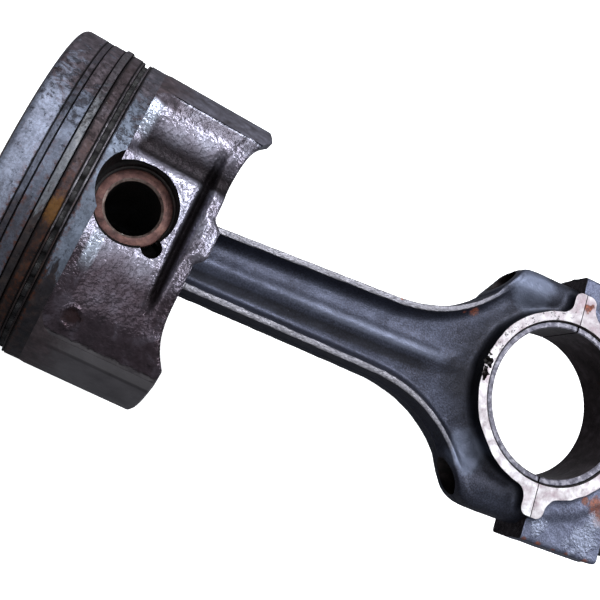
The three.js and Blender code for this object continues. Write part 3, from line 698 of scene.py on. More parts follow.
def surface_of(field, low, high, step):
    """Closed mesh of the surface field = 0 (negative inside), as (vertices, quads)."""
    axes = [np.arange(a, b + step, step) for a, b in zip(low, high)]
    x, y, z = np.meshgrid(*axes, indexing="ij", sparse=True)
    f = np.broadcast_to(field(x, y, z), tuple(len(a) for a in axes)).astype(np.float32)
    # the outermost points count as outside, so the mesh closes
    rim = np.ones(f.shape, bool)
    rim[1:-1, 1:-1, 1:-1] = False
    f = np.where(rim, np.maximum(f, np.float32(0.01)), f)
    inside = f < 0
    corners = [(i, j, k) for i in (0, 1) for j in (0, 1) for k in (0, 1)]
    count = 0
    for corner in corners:
        window = tuple(slice(c, n - 1 + c) for c, n in zip(corner, f.shape))
        count = count + inside[window].astype(np.int8)
    # one vertex in each cell that the surface passes through, at the mean of its edge crossings
    cells = np.argwhere((count > 0) & (count < 8))
    number = np.full(count.shape, -1, np.int64)
    number[tuple(cells.T)] = np.arange(len(cells))
    total = np.zeros((len(cells), 3))
    hits = np.zeros(len(cells))
    value = {c: f[tuple((cells + c).T)] for c in corners}
    for axis in range(3):
        for c in corners:
            if c[axis]:
                continue
            d = tuple(v + (n == axis) for n, v in enumerate(c))
            a, b = value[c], value[d]
            cross = (a < 0) != (b < 0)
            t = np.where(cross, a / np.where(cross, a - b, 1), 0)
            point = np.tile(np.array(c, float), (len(cells), 1))
            point[:, axis] += t
            total += point * cross[:, None]
            hits += cross
    base = np.array([a[0] for a in axes])
    verts = (cells + total / hits[:, None]) * step + base
    # one quad across each grid edge that the surface crosses
    quads = []
    for axis in range(3):
        u, v = (axis + 1) % 3, (axis + 2) % 3
        first = [slice(1, -1)] * 3
        second = [slice(1, -1)] * 3
        first[axis], second[axis] = slice(None, -1), slice(1, None)
        a, b = inside[tuple(first)], inside[tuple(second)]
        for flip, where in ((False, a & ~b), (True, ~a & b)):
            at = np.argwhere(where)
            at[:, u] += 1
            at[:, v] += 1
            ring = []
            for du, dv in ((-1, -1), (0, -1), (0, 0), (-1, 0)):
                cell = at.copy()
                cell[:, u] += du
                cell[:, v] += dv
                ring.append(number[tuple(cell.T)])
            quads.append(np.stack(ring[::-1] if flip else ring, 1))
    return verts, np.concatenate(quads)


def settle(verts, field, rounds=3):
    """Moves the vertices onto the field's surface by Newton steps, each at most reach long."""
    h, reach = 0.02, 0.25
    for _ in range(rounds):
        x, y, z = verts.T
        value = field(x, y, z)
        along_x = field(x + h, y, z) - field(x - h, y, z)
        along_y = field(x, y + h, z) - field(x, y - h, z)
        along_z = field(x, y, z + h) - field(x, y, z - h)
        slope = np.stack([along_x, along_y, along_z], 1) / (2 * h)
        move = value / np.maximum((slope**2).sum(1), 0.05)
        move = slope * move[:, None]
        far = np.linalg.norm(move, axis=1)
        move *= np.minimum(1, reach / np.maximum(far, 1e-9))[:, None]
        verts = verts - move
    return verts


def facing_out(verts, faces):
    """The faces of a closed mesh, all turned over if they face inwards."""
    verts = np.asarray(verts, float)
    volume = 0.0
    for f in faces:
        for b, c in zip(f[1:-1], f[2:]):
            volume += float(np.dot(verts[f[0]], np.cross(verts[b], verts[c])))
    return [f[::-1] for f in faces] if volume < 0 else faces


def strip(a, b, sides):
    """Faces between two rows of vertex numbers. A row that repeats one number is a tip."""
    faces = []
    for k in range(sides):
        n = (k + 1) % len(a)
        ring = [a[k], a[n], b[n], b[k]]
        face = [v for p, v in enumerate(ring) if v != ring[p - 1]]
        if len(face) > 2:
            faces.append(face)
    return faces


def solid(verts, faces, material=0, materials=()):
    """A mesh object in millimetres. material is one index or one per face."""
    mesh = bpy.data.meshes.new("solid")
    mesh.from_pydata(np.asarray(verts, float).tolist(), [], [list(map(int, f)) for f in faces])
    for m in materials:
        mesh.materials.append(m)
    mesh.polygons.foreach_set("material_index", np.broadcast_to(material, len(faces)).astype(np.int32))
    mesh.update()
    made = bpy.data.objects.new("solid", mesh)
    bpy.context.scene.collection.objects.link(made)
    return made


def combine(target, tool, operation):
    """Adds tool to target, or keeps what both fill, and removes tool."""
    change = target.modifiers.new("change", "BOOLEAN")
    change.object = tool
    change.operation = operation
    change.solver = "MANIFOLD"
    bpy.context.view_layer.update()
    graph = bpy.context.evaluated_depsgraph_get()
    made = bpy.data.meshes.new_from_object(target.evaluated_get(graph))
    old = target.data
    target.modifiers.clear()
    target.data = made
    bpy.data.meshes.remove(old)
    bpy.data.objects.remove(tool)
    return target


def cut(target, *tools):
    """Takes the tools away from target."""
    for tool in tools:
        combine(target, tool, "DIFFERENCE")
    return target


def turned(profile, sides, axis="z", centre=(0.0, 0.0, 0.0), arc=None, material=0, materials=(),
           closed=False):
    """A profile of (radius, height) or (radius, height, material) turned about an axis. arc is
    (start, end) in radians for a part turn with flat ends. closed joins the profile's ends."""
    profile = [(*point, material)[:3] for point in profile]
    count = sides if arc is None else sides + 1
    start, end = arc or (0.0, 2 * math.pi)
    angles = start + (end - start) * np.arange(count) / sides
    rows, verts = [], []
    for r, h, _ in profile:
        if r < 1e-6:
            rows.append([len(verts)] * count)
            verts.append((0.0, 0.0, h))
        else:
            rows.append(list(range(len(verts), len(verts) + count)))
            verts += [(r * math.cos(a), r * math.sin(a), h) for a in angles]
    faces, index = [], []
    for i in range(len(profile) if closed else len(profile) - 1):
        made = strip(rows[i], rows[(i + 1) % len(rows)], sides)
        faces += made
        index += [profile[i][2]] * len(made)
    if arc:
        faces += [[row[0] for row in rows][::-1], [row[-1] for row in rows]]
        index += [profile[0][2]] * 2
    verts = np.array(verts)
    if axis == "x":
        verts = verts[:, [2, 0, 1]]
    verts = verts + np.array(centre)
    return solid(verts, facing_out(verts, faces), index, materials)


def cylinder(radius, low, high, sides, **options):
    """A cylinder about z, or as the options of turned say."""
    return turned([(0, low), (radius, low), (radius, high), (0, high)], sides, **options)


def loft(rings, materials):
    """A solid through rings of points, with flat ends. A ring of one point is a tip."""
    sides = max(len(ring) for ring in rings)
    verts, rows = [], []
    for ring in rings:
        rows.append([len(verts) + k % len(ring) for k in range(sides)])
        verts += ring
    faces = [face for a, b in zip(rows[:-1], rows[1:]) for face in strip(a, b, sides)]
    if len(rings[0]) > 1:
        faces.append(rows[0][::-1])
    if len(rings[-1]) > 1:
        faces.append(rows[-1])
    return solid(verts, facing_out(verts, faces), 0, materials)


def prism(outline, low, high, material=0, materials=()):
    """An x, y outline carried along z from low to high."""
    n = len(outline)
    verts = [(x, y, low) for x, y in outline] + [(x, y, high) for x, y in outline]
    faces = [[i, (i + 1) % n, n + (i + 1) % n, n + i] for i in range(n)]
    faces += [list(range(n))[::-1], list(range(n, 2 * n))]
    return solid(verts, facing_out(verts, faces), material, materials)


def slab(low, high, materials=(), index=(0, 0, 0)):
    """A box. index gives the materials of its x, y and z faces."""
    (a, b, c), (d, e, f) = low, high
    verts = [(x, y, z) for x in (a, d) for y in (b, e) for z in (c, f)]
    faces = [[0, 1, 3, 2], [4, 6, 7, 5], [0, 4, 5, 1], [2, 3, 7, 6], [0, 2, 6, 4], [1, 5, 7, 3]]
    return solid(verts, faces, [index[0]] * 2 + [index[1]] * 2 + [index[2]] * 2, materials)


def piece(made, name, body, node, on_piston=False):
    """Names a finished solid, scales it to metres, puts it in place and ties it to its body."""
    move = Matrix.Diagonal((MM, MM, MM, 1.0))
    if on_piston:
        turn = Matrix.Rotation(PISTON_TURN, 4, "Z")
        move = Matrix.Translation([v * MM for v in pin_at]) @ turn @ move
    made.data.transform(move)
    made.name = name
    made.data.name = name
    made.data.polygons.foreach_set("use_smooth", [True] * len(made.data.polygons))
    made.data.set_sharp_from_angle(angle=math.radians(SHARP_DEG))
    made.data.update()
    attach(made, body)
    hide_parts(node)


# ---------------------------------------------------------------- piston
CROWN, TOP_LAND, SECOND_LAND, THIRD_LAND, LOW_LAND, GROOVE, SKIRT, CAST, INSIDE, BORE = range(10)
PISTON_SIDES = 480
LANDS_BELOW = [SECOND_LAND, THIRD_LAND, LOW_LAND]


def end_line(ay):
    """Open end of the piston over the distance from its middle plane."""
    ay = np.abs(ay)
    curve = bezier([(32.6, SKIRT_END_X), (29.5, SKIRT_END_X - 2.4), (27, PANEL_END_X), (17, PANEL_END_X)], 14)
    lug = bezier([(7, PANEL_END_X), (5, PANEL_END_X), (5, LUG_END_X), (3, LUG_END_X)], 10)
    points = [(60, SKIRT_END_X), (32.6, SKIRT_END_X), *curve, (7, PANEL_END_X), *lug, (0, LUG_END_X)]
    return interp(ay, points[::-1])


def panel_base(y):
    """Height of the recessed side across its width. Towards +y there is a hollow beside the boss
    face and the side then rises flush with the skirt; towards -y it falls away evenly."""
    points = [
        (-40, 20.6), (-PANEL_HALF_W, 23.4), (-33, 25.5), (-28, 28.4), (-21, 30.2), (-16, 31.2), (-12, PAD_Z),
        (11.2, PAD_Z), (12.4, 30.8), (13.6, 29.8), (15, 29.4), (17, 29.7), (19, 30.5), (21, 31.2), (23, 31.6),
        (25, 31.7), (27, 31.6), (29.2, 31.3), (31, 30.9), (40, 27),
    ]
    return interp(y, points)


def smooth_panel(y):
    """panel_base with its corners rounded."""
    reach = np.linspace(-1.1, 1.1, 9)
    return sum(panel_base(y + d) for d in reach) / len(reach)


def panel_height(x, y, seed):
    """Height of the recessed side with its valley, lip, fillet, casting mark and cast skin."""
    z = smooth_panel(y)
    # cross valley between the boss face and the open end, drawn out to a point
    centre = 13.5
    reach = np.clip(1 - np.maximum(y - 10, 0) / 13, 0, 1) * np.clip(1 - np.maximum(-y - 4, 0) / 19, 0, 1)
    width = 0.5 + 0.9 * np.sqrt(reach)
    z = z - 3.0 * reach**0.7 * np.exp(-(((x - centre) / width) ** 2))
    # raised lip at the open end, rolled over at its edge
    end = end_line(y)
    z = z + 0.35 * np.exp(-(((x - (end - 3.3)) / 1.1) ** 2)) * (np.abs(y) < 33)
    roll = np.clip((x - (end - 2.8)) / 2.8, 0, 1)
    z = z - 1.7 * (1 - np.sqrt(1 - 0.98 * roll**2))
    # fillet up to the ring belt
    near = np.clip(1 - (x - BELT_END_X) / 5.4, 0, 1)
    z = z + 2.2 * near**1.9
    # round casting mark low on the side
    away = np.hypot(x - MARK[0], y - MARK[1])
    z = z + 0.55 * step01((3.3 - away) / 0.8) - 0.75 * step01((2.4 - away) / 0.9)
    z = z + 0.03 * lumps(x, y, 0 * x, 4.5, seed) + 0.02 * lumps(x, y, 0 * x, 1.5, seed + 1)
    return z


def side_cutter(sign, materials):
    """What is cut away outside one recessed side."""
    grid = 0.4
    xs = np.arange(BELT_END_X - grid, SKIRT_END_X + 3, grid)
    ys = np.linspace(-PANEL_HALF_W - 0.4, PANEL_HALF_W + 0.4, 178)
    x, y = np.meshgrid(xs, ys, indexing="ij")
    z = panel_height(x, y, 11 if sign > 0 else 17)
    top = SKIRT_R + 4
    nx, ny = x.shape
    low = np.stack([x, y, z], 2).reshape(-1, 3)
    high = low.copy()
    high[:, 2] = top
    verts = np.concatenate([low, high])
    at = np.arange(nx * ny).reshape(nx, ny)
    quads = np.stack([at[:-1, :-1], at[:-1, 1:], at[1:, 1:], at[1:, :-1]], 2).reshape(-1, 4)
    faces = [list(q) for q in quads] + [list(q[::-1] + nx * ny) for q in quads]
    rim = [*at[:, 0], *at[-1, 1:], *at[-2::-1, -1], *at[0, -2:0:-1]]
    for a, b in zip(rim, rim[1:] + rim[:1]):
        faces.append([a, b, b + nx * ny, a + nx * ny])
    verts[:, 2] *= sign
    block = solid(verts, facing_out(verts, faces), CAST, materials)
    w, upper, c = PANEL_HALF_W, PANEL_UPPER_W, 4.5
    x0, x1 = BELT_END_X, SKIRT_END_X + 2.5
    outline = [(x1, -w), (x1, upper), (x0 + c, upper)]
    outline += bezier([(x0 + c, upper), (x0, upper), (x0, upper - c)], 10)
    outline += [(x0, -w + c)]
    outline += bezier([(x0, -w + c), (x0, -w), (x0 + c, -w)], 10)
    low_z, high_z = (10, top - 1) if sign > 0 else (1 - top, -10)
    return combine(block, prism(outline, low_z, high_z, CAST, materials), "INTERSECT")


def cavity_field(x, y, z):
    """Inside of the piston, less the pin bosses and their struts."""
    ay, az = np.abs(y), np.abs(z)
    wall = interp(x, [(-2, CAVITY_R), (5, SKIRT_WALL_R)])
    f = smax(np.hypot(y, z) - wall, CAVITY_TOP_X - x, 5.0)
    f = smax(f, az - (smooth_panel(y) - PANEL_WALL), 2.0)
    barrel = np.hypot(x, y) - BOSS_R
    strut = smax(ay - (BOSS_R - 2), x, 2.0)
    boss = smax(smin(barrel, strut, 2.0), BOSS_INNER_Z - az, 0.8)
    f = smax(f, -boss, 3.5)
    return f + 0.12 * lumps(x, y, z, 6.0, 31)


def piston_profile():
    """Crown, ring belt and skirt as (radius, x, material)."""
    profile = [(r, CROWN_X, CROWN) for r in (0, 10, 24, 36)]
    edge = 8
    for i in range(edge + 1):
        t = i / edge * math.pi / 2
        r = LAND_R - CROWN_EDGE * (1 - math.sin(t))
        profile.append((r, CROWN_X + CROWN_EDGE * (1 - math.cos(t)), CROWN if i < 4 else TOP_LAND))
    broken = 0.28
    for (x0, x1), land in zip(GROOVES, LANDS_BELOW):
        before = profile[-1][2]
        profile += [
            (LAND_R, x0 - broken, before), (LAND_R - broken, x0, GROOVE), (GROOVE_R, x0, GROOVE),
            (GROOVE_R, x1, GROOVE), (LAND_R - broken, x1, land), (LAND_R, x1 + broken, land),
        ]
    profile += [(LAND_R, BELT_END_X - 0.6, LOW_LAND), (LAND_R, BELT_END_X, SKIRT)]
    rows = 16
    end_edge = 0.6
    levels = np.linspace(BELT_END_X + 1.5, SKIRT_END_X - end_edge, rows + 1)
    profile += [(SKIRT_R, float(x), SKIRT) for x in levels]
    return profile + [(SKIRT_R - end_edge, SKIRT_END_X, SKIRT), (0, SKIRT_END_X, SKIRT)]


def build_piston():
    mats = piston_materials()
    body = turned(piston_profile(), PISTON_SIDES, "x", materials=mats)
    verts, quads = surface_of(cavity_field, (-25.5, -41, -34), (SKIRT_END_X + 2, 41, 34), 0.6)
    cavity = solid(settle(verts, cavity_field, 2), quads, INSIDE, mats)
    cut(body, side_cutter(1, mats), side_cutter(-1, mats), cavity)
    # open end
    ys = np.concatenate([np.linspace(-50, -33, 3), np.linspace(-32.8, 32.8, 165), np.linspace(33, 50, 3)])
    outline = [(float(end_line(y)), float(y)) for y in ys] + [(SKIRT_END_X + 9, 50), (SKIRT_END_X + 9, -50)]
    cut(body, prism(outline, -50, 50, CAST, mats))
    # pin bore with its clip grooves, mouths and removal notches
    mouth, out, groove, g = MOUTH_R - BORE_R, SKIRT_R + 3, 11.0, 0.8
    half = [
        (BORE_R, CLIP_Z - g), (groove, CLIP_Z - g), (groove, CLIP_Z + g), (BORE_R, CLIP_Z + g),
        (BORE_R, PAD_Z - mouth), (MOUTH_R, PAD_Z), (MOUTH_R, out),
    ]
    line = [(0, -out)] + [(r, -z) for r, z in half[::-1]] + half + [(0, out)]
    cut(body, turned(line, 160, material=BORE, materials=mats))
    for low, high in ((NOTCH_Z, out), (-out, -NOTCH_Z)):
        cut(body, cylinder(NOTCH_R, low, high, 48, centre=NOTCH_AT, material=BORE, materials=mats))
    piece(body, "piston_casting", "piston_group", "piston", True)


# ---------------------------------------------------------------- rings, pin, clips
def ring_arc(gap_deg, gap, radius):
    """Angles of a split ring about x whose gap is centred gap_deg from +Z towards +Y."""
    centre = math.radians(90 - gap_deg)
    half = gap / 2 / radius
    return centre + half, centre + 2 * math.pi - half


def split_ring(name, group, node, outer, x0, x1, gap_deg, gap, mats, corner, crown_r=0.0):
    """Split ring with broken corners; crown_r is how far its running face stands out."""
    c, inner, face = corner, RING_INNER_R, outer - crown_r
    profile = [
        (inner, x0 + c, 1), (inner + c, x0, 1), (face - c, x0, 0), (face, x0 + c, 0),
        (outer, (x0 + x1) / 2, 0),
        (face, x1 - c, 0), (face - c, x1, 1), (inner + c, x1, 1), (inner, x1 - c, 1),
    ]
    made = turned(profile, 400, "x", arc=ring_arc(gap_deg, gap, outer), materials=mats, closed=True)
    piece(made, name, group + "_group", node, True)


def build_rings():
    side, thick, apart = 0.1, 0.45, 0.1
    dark = dark_metal("ring_sides", ((16, 13, 14), (34, 28, 30), (60, 52, 54)), 1.6, seed=3.0, on_piston=True)
    iron = ring_metal("top_ring_iron", ((56, 58, 66), (74, 77, 88), (94, 98, 112)), 31.0, 0.3, 0.5)
    iron2 = ring_metal("second_ring_iron", ((78, 80, 86), (102, 104, 110), (128, 128, 130)), 37.0, 0.5, 0.85)
    rail = ring_metal("rail_steel", ((62, 58, 62), (102, 98, 104), (156, 154, 160)), 41.0, 0.6, 0.9)
    (a, b), (c, d), (e, f) = [(low + side, high - side) for low, high in GROOVES]
    split_ring("ring_top", "top_ring", "top_compression_ring", 42.7, a, b, 200, 1.2,
               [iron, dark], 0.1)
    split_ring("ring_second", "second_ring", "second_compression_ring", 43.35, c, d, 62, 1.6,
               [iron2, dark], 0.12, 0.03)
    split_ring("oil_rail_top", "upper_rail", "oil_rail_upper", 42.7, e, e + thick, 150, 1.2,
               [rail, dark], 0.08, 0.04)
    split_ring("oil_rail_bottom", "lower_rail", "oil_rail_lower", 42.7, f - thick, f, 240, 1.2,
               [rail, dark], 0.08, 0.04)
    build_expander(e + thick + apart, f - thick - apart)


def build_expander(x0, x1):
    """Corrugated spacer between the oil rails."""
    waves, per_wave = 40, 16
    gap = math.radians(2)
    start = math.radians(-10) + gap / 2
    steps = waves * per_wave
    rings = []
    for i in range(steps + 1):
        a = start + i / steps * (2 * math.pi - gap)
        wave = 0.5 * math.tanh(2.2 * math.sin(2 * math.pi * i / per_wave)) / math.tanh(2.2)
        corners = ((40.75, x0), (41.25, x0), (41.25, x1), (40.75, x1))
        rings.append([(x, (r + wave) * math.cos(a), (r + wave) * math.sin(a)) for r, x in corners])
    tones = ((5, 4, 5), (13, 10, 13), (36, 31, 38))
    oily = dark_metal("expander_oily", tones, 0.8, (0.4, 0.7), 0.2, 9.0, True, depth=0.2)
    piece(loft(rings, [oily]), "oil_spacer", "expander_group", "oil_ring_expander", True)


def build_pin():
    """Hollow wrist pin, with baked oil inside its far half."""
    c = 0.6
    rusty = ((54, 33, 31), (98, 66, 62), (134, 98, 88))
    worn = ((84, 66, 62), (136, 118, 112), (176, 160, 152))
    # near-black inside the hollow: painted shade, with the baked oil
    baked = ((8, 6, 6), (16, 11, 11), (30, 20, 18))
    ground = ((108, 104, 106), (150, 148, 152), (184, 184, 190))
    mats = [
        rust_metal("pin_end_rust", 3.0, rusty),
        dark_metal("pin_chamfer", worn, 1.5, (0.3, 0.5), 0.8, 4.0, True),
        dark_metal("pin_hollow", baked, 3.0, (0.5, 0.75), 0.3, 5.0, True),
        dark_metal("pin_ground", ground, 6.0, (0.16, 0.3), 0.95, 6.0, True, (1, 1, 0.2), 0.006),
    ]
    h, r, q = PIN_HALF, PIN_R, PIN_HOLE_R
    half = [(q, h - c, 1), (q + c, h, 0), (r - c, h, 0), (r - 0.2, h - 0.18, 0), (r, h - c, 3)]
    line = [(q, -h + c, 2)] + half
    line += [(r, 0, 3), (r, -h + c, 0), (r - 0.2, -h + 0.18, 0), (r - c, -h, 0), (q + c, -h, 1)]
    rows = 24
    hollow = [(q, -h + c + 2 * (h - c) * i / rows, 2) for i in range(1, rows)]
    made = turned(line[:1] + hollow + line[1:], 200, materials=mats, closed=True)
    for v in made.data.vertices:
        x, y, z = v.co
        r = math.hypot(x, y)
        if r < q + 0.01 and z < 0:
            along = float(step01((-z - 6) / 14) * step01((h - 0.8 + z) / 1.5))
            deposit = 1.5 * along * max(0.0, y / r) ** 1.5
            deposit *= 1 + 0.25 * float(lumps(x, y, z, 3.0, 71))
            v.co.x *= (r - deposit) / r
            v.co.y *= (r - deposit) / r
    piece(made, "pin", "pin_group", "wrist_pin", True)


def build_clip(name, node, z):
    """Round-wire circlip with rounded ends, open towards the removal notch."""
    opening = math.radians(50)
    start = math.radians(-45) + opening / 2
    end = start + 2 * math.pi - opening
    steps, around, tip = 150, 14, 5
    rounding = [math.pi / 2 * i / tip for i in range(1, tip + 1)]
    stations = [(start - CLIP_WIRE_R / CLIP_R * math.sin(t), math.cos(t)) for t in rounding[::-1]]
    stations += [(start + (end - start) * i / steps, 1.0) for i in range(steps + 1)]
    stations += [(end + CLIP_WIRE_R / CLIP_R * math.sin(t), math.cos(t)) for t in rounding]
    rings = []
    for a, scale in stations:
        w = max(CLIP_WIRE_R * scale, 0.02)
        ring = []
        for k in range(around):
            b = 2 * math.pi * k / around
            r = CLIP_R + w * math.cos(b)
            ring.append((r * math.cos(a), r * math.sin(a), z + w * math.sin(b)))
        rings.append(ring)
    # near-black rust: painted shade inside the bore mouth
    rusty = rust_metal(name + "_wire", 12.0, ((8, 6, 6), (20, 14, 14), (44, 30, 28)))
    piece(loft(rings, [rusty]), name, "piston_group", node, True)


# ---------------------------------------------------------------- connecting rod
def rod_edge():
    """Upper edge of the beam and shoulder in plan, small end to joint."""
    points = [(BEAM_START_X - 30, 10.3 - 30 * 2.3 / 70), (BEAM_START_X, 10.3), (FLARE_X, 12.6)]
    points += bezier([(FLARE_X, 12.6), (-43, 13.8), (-31, 20.5), (-22.5, 35.2)], 16)
    points += bezier([(-22.5, 35.2), (-20, 38.5), (-15, 38.5)], 5)
    points += [(12, 38.5)]
    return points


ROD_EDGE = rod_edge()


def rod_field(x, y, z):
    """Forging of the rod: beam with hollow sides, shoulders, bolt bosses, big end, ears and eye."""
    ay, az = np.abs(y), np.abs(z)
    away = line_distance(x, ay, ROD_EDGE)
    edge = interp(x, ROD_EDGE)
    plan = np.where(ay < edge, -away, away)
    inset = -plan
    # floor of the hollow, rising into the shoulders, with the low rib along its middle
    floor = interp(x, [(FLARE_X, WEB_TOP), (-40, 3.5), (-24, 5.2), (-10, 5.4)])
    rib = 1.4 * np.exp(-((y / 2.9) ** 2)) * step01((x + 127) / 6) * step01((-31 - x) / 16)
    floor = floor + rib
    rail = 2.4 - 0.6 * step01((x + 50) / 25)
    drop = np.clip((inset - rail) / 3.2, 0, 1)
    top = floor + (BEAM_TOP - floor) * (1 - drop) ** 2.4
    flash = 0.22 * np.exp(-((z / 0.8) ** 2))
    side = plan + 0.05 * az - flash + 0.3
    body = smax(side, az - top, 0.5)
    round_off = np.hypot(np.maximum(ay - BOLT_Y, 0), z) - BOLT_BOSS_R
    body = smax(body, round_off, 0.8)
    boss = smax(np.hypot(ay - BOLT_Y, z) - BOLT_BOSS_R, plan + 0.3, 1.2)
    boss = smax(boss, -36 - x, 1.0)
    body = smin(body, boss, 2.0)
    core = np.hypot(x, y) - THRUST_R - 0.1 * lumps(x, y, 0 * x, 5.0, 41)
    body = smin(body, smin(core, ear_field(x, ay), 3.5) + 0 * z, 2.6)
    eye = smax(np.hypot(x + ROD_LENGTH, y) - EYE_R, az - EYE_HALF, 0.8)
    body = smin(body, eye, 5.0)
    limit = np.where(x < -100, az - EYE_HALF, az - THRUST_HALF - 1)
    return np.maximum(body, limit) + 0.03 * lumps(x, y, z, 7.0, 43) + 0.015 * lumps(x, y, z, 2.6, 44)


def ear_field(x, ay):
    """Plan of the raised ear on the joint line."""
    ax = np.abs(x)
    qx = ax - (EAR_HALF_W - EAR_ROUND)
    qy = np.abs(ay - 28.0) - (EAR_END_Y - 28.0 - EAR_ROUND)
    outside = np.hypot(np.maximum(qx, 0), np.maximum(qy, 0))
    return outside + np.minimum(np.maximum(qx, qy), 0) - EAR_ROUND


FORGED, THRUST, BROKEN, BORED = range(4)
RUST_ON_ROD = [
    (-33.5, 17.4, 5, 1.7), (-37, 16.4, 5, 0.9), (-39.5, 15.4, 5, 0.7),
    (-22, 34, 6, 0.8), (-58, 12, 6.5, 0.7), (-64, 12, 6.5, 0.5),
]
RUST_ON_CAP = [
    (22.5, -25.5, 8.6, 3.2), (18, -25.0, 8.6, 1.6), (25.5, -28.5, 8.6, 3.2), (6.5, -42.4, 7.6, 1.3),
    (17, -42.6, 7.6, 1.2), (24, -42.6, 7.6, 1.4), (1.5, -42.2, 7.6, 1.1), (12, -42.6, 7.6, 1.0),
]
RUST_ON_EARS = [(1.2, 31.5, 10.2, 1.6), (2.6, 32.6, 10.2, 1.0)]


def big_end_bore(mats):
    """Housing bore with a small chamfer at each face."""
    h, r, c = THRUST_HALF, HOUSING_R, 0.45
    half = [(r, h - c), (r + c, h), (r + c, h + 3), (0, h + 3)]
    line = [(a, -b) for a, b in half[::-1]] + half
    return turned(line, 256, material=BORED, materials=mats)


def bolt_bores(radius, low, high, mats, index):
    """What both bolts' holes take away, from low to high in x."""
    options = {"axis": "x", "material": index, "materials": mats}
    return [cylinder(radius, low, high, 64, centre=(0, y, 0), **options) for y in (BOLT_Y, -BOLT_Y)]


def forging(field, low, high, kept_low, kept_high, mats):
    """The solid of a field, cut off flat at its faces and joint and bored for the shells."""
    verts, quads = surface_of(field, low, high, 0.45)
    body = solid(settle(verts, field), quads, FORGED, mats)
    keep = slab((*kept_low, -THRUST_HALF), (*kept_high, THRUST_HALF), mats, (BROKEN, FORGED, THRUST))
    return cut(combine(body, keep, "INTERSECT"), big_end_bore(mats))


def chip(x, y, z, size, mats, seed):
    """A ragged lump used to break a piece out of an edge, longer in y."""
    def field(a, b, c):
        away = np.sqrt((a - x) ** 2 + ((b - y) / 1.7) ** 2 + (c - z) ** 2)
        return away - size + 0.5 * lumps(a, b, c, 1.3, seed)

    reach = size * 2.2 + 0.5
    low, high = [[v + way * reach for v in (x, y, z)] for way in (-1, 1)]
    return solid(*surface_of(field, low, high, 0.2), BORED, mats)


def build_rod():
    mats = [
        forged_steel("rod_forged", ((34, 34, 42), (43, 45, 56), (54, 57, 70)), 1.0, RUST_ON_ROD,
                     # pale spots are painted highlights, oily ones painted shade
                     pale=[(-17, 31.5, 7, 8.5, 0.55), (-23.5, -23.5, 6, 7.0, 0.6)],
                     oily=[(-33, -4, 5, 7.0)], beam=True),
        thrust_metal("rod_thrust_face", 2.0),
        dark_metal("fracture_face", ((30, 28, 34), (62, 60, 68), (110, 108, 116)), 1.2, (0.4, 0.6), 0.8, 2.0,
                   depth=0.2),
        dark_metal("rod_bored", ((10, 8, 9), (26, 21, 22), (52, 44, 44)), 2.5, (0.35, 0.6), 0.6, 3.0),
    ]
    low = (-ROD_LENGTH - EYE_R - 1.5, -41, -THRUST_HALF - 1.8)
    body = forging(rod_field, low, (2.5, 41, THRUST_HALF + 1.8), (-190, -60), (-SEAM, 60), mats)
    eye = cylinder(BUSH_R + 0.1, -20, 20, 128, centre=(-ROD_LENGTH, 0, 0), material=BORED, materials=mats)
    cut(body, eye, *bolt_bores(BOLT_HOLE_R, -48, 3, mats, BORED))
    cut(body, chip(-27.0, 3.3, THRUST_HALF, 1.2, mats, 5))
    cut(body, chip(-27.0, -0.4, THRUST_HALF + 0.15, 1.15, mats, 8))
    piece(body, "rod", "rod_group", "connecting_rod")


def cap_field(x, y, z):
    """Forging of the cap: arch, bolt bosses, thrust rim and ears."""
    ay, az = np.abs(y), np.abs(z)
    arch = smax(np.hypot(x, y) - CAP_ARCH_R, az - CAP_HALF_T - 0.6, 2.2)
    # bosses that carry the bolt heads
    middle, half = (CAP_BOSS_IN_Y + CAP_HALF_W) / 2, (CAP_HALF_W - CAP_BOSS_IN_Y) / 2
    boss = smax(np.abs(ay - middle) - half + 0.02 * az, x - CAP_BOSS_X, 1.6)
    boss = smax(boss, az - CAP_HALF_T + 0.012 * (ay - 30), 1.3)
    flash = 0.22 * np.exp(-((z / 0.8) ** 2))
    body = smin(arch - flash, boss - flash * (ay > 38), 1.8)
    core = np.hypot(x, y) - CAP_THRUST_R - 0.12 * lumps(x, y, 0 * x, 4.5, 51)
    body = smin(body, smin(core, ear_field(x, ay), 4.5) + 0 * z, 2.0)
    body = np.maximum(body, az - THRUST_HALF - 1)
    return body + 0.05 * lumps(x, y, z, 6.0, 53) + 0.025 * lumps(x, y, z, 2.4, 54)


def build_cap():
    mats = [
        forged_steel("cap_forged", ((58, 60, 74), (74, 77, 94), (90, 94, 112)), 7.0, RUST_ON_CAP,
                     rough_patch=[(21, -37, 8, 5.5), (5, -37, 8, 2.6), (23.5, -30.5, 8, 3.0)]),
        thrust_metal("cap_thrust_face", 4.0),
        dark_metal("cap_fracture_face", ((24, 20, 24), (48, 42, 46), (84, 78, 84)), 1.2, (0.4, 0.6), 0.7, 8.0,
                   depth=0.2),
        dark_metal("cap_bored", ((10, 8, 9), (26, 21, 22), (52, 44, 44)), 2.5, (0.35, 0.6), 0.6, 9.0),
    ]
    low = (-2.5, -CAP_HALF_W - 1.5, -THRUST_HALF - 1.8)
    high = (CAP_ARCH_R + 1.5, CAP_HALF_W + 1.5, THRUST_HALF + 1.8)
    body = forging(cap_field, low, high, (SEAM, -60), (60, 60), mats)
    cut(body, *bolt_bores(8.2, CAP_BOSS_X, 60, mats, THRUST), *bolt_bores(BOLT_HOLE_R, -3, 60, mats, BORED))
    piece(body, "cap", "rod_group", "rod_cap")


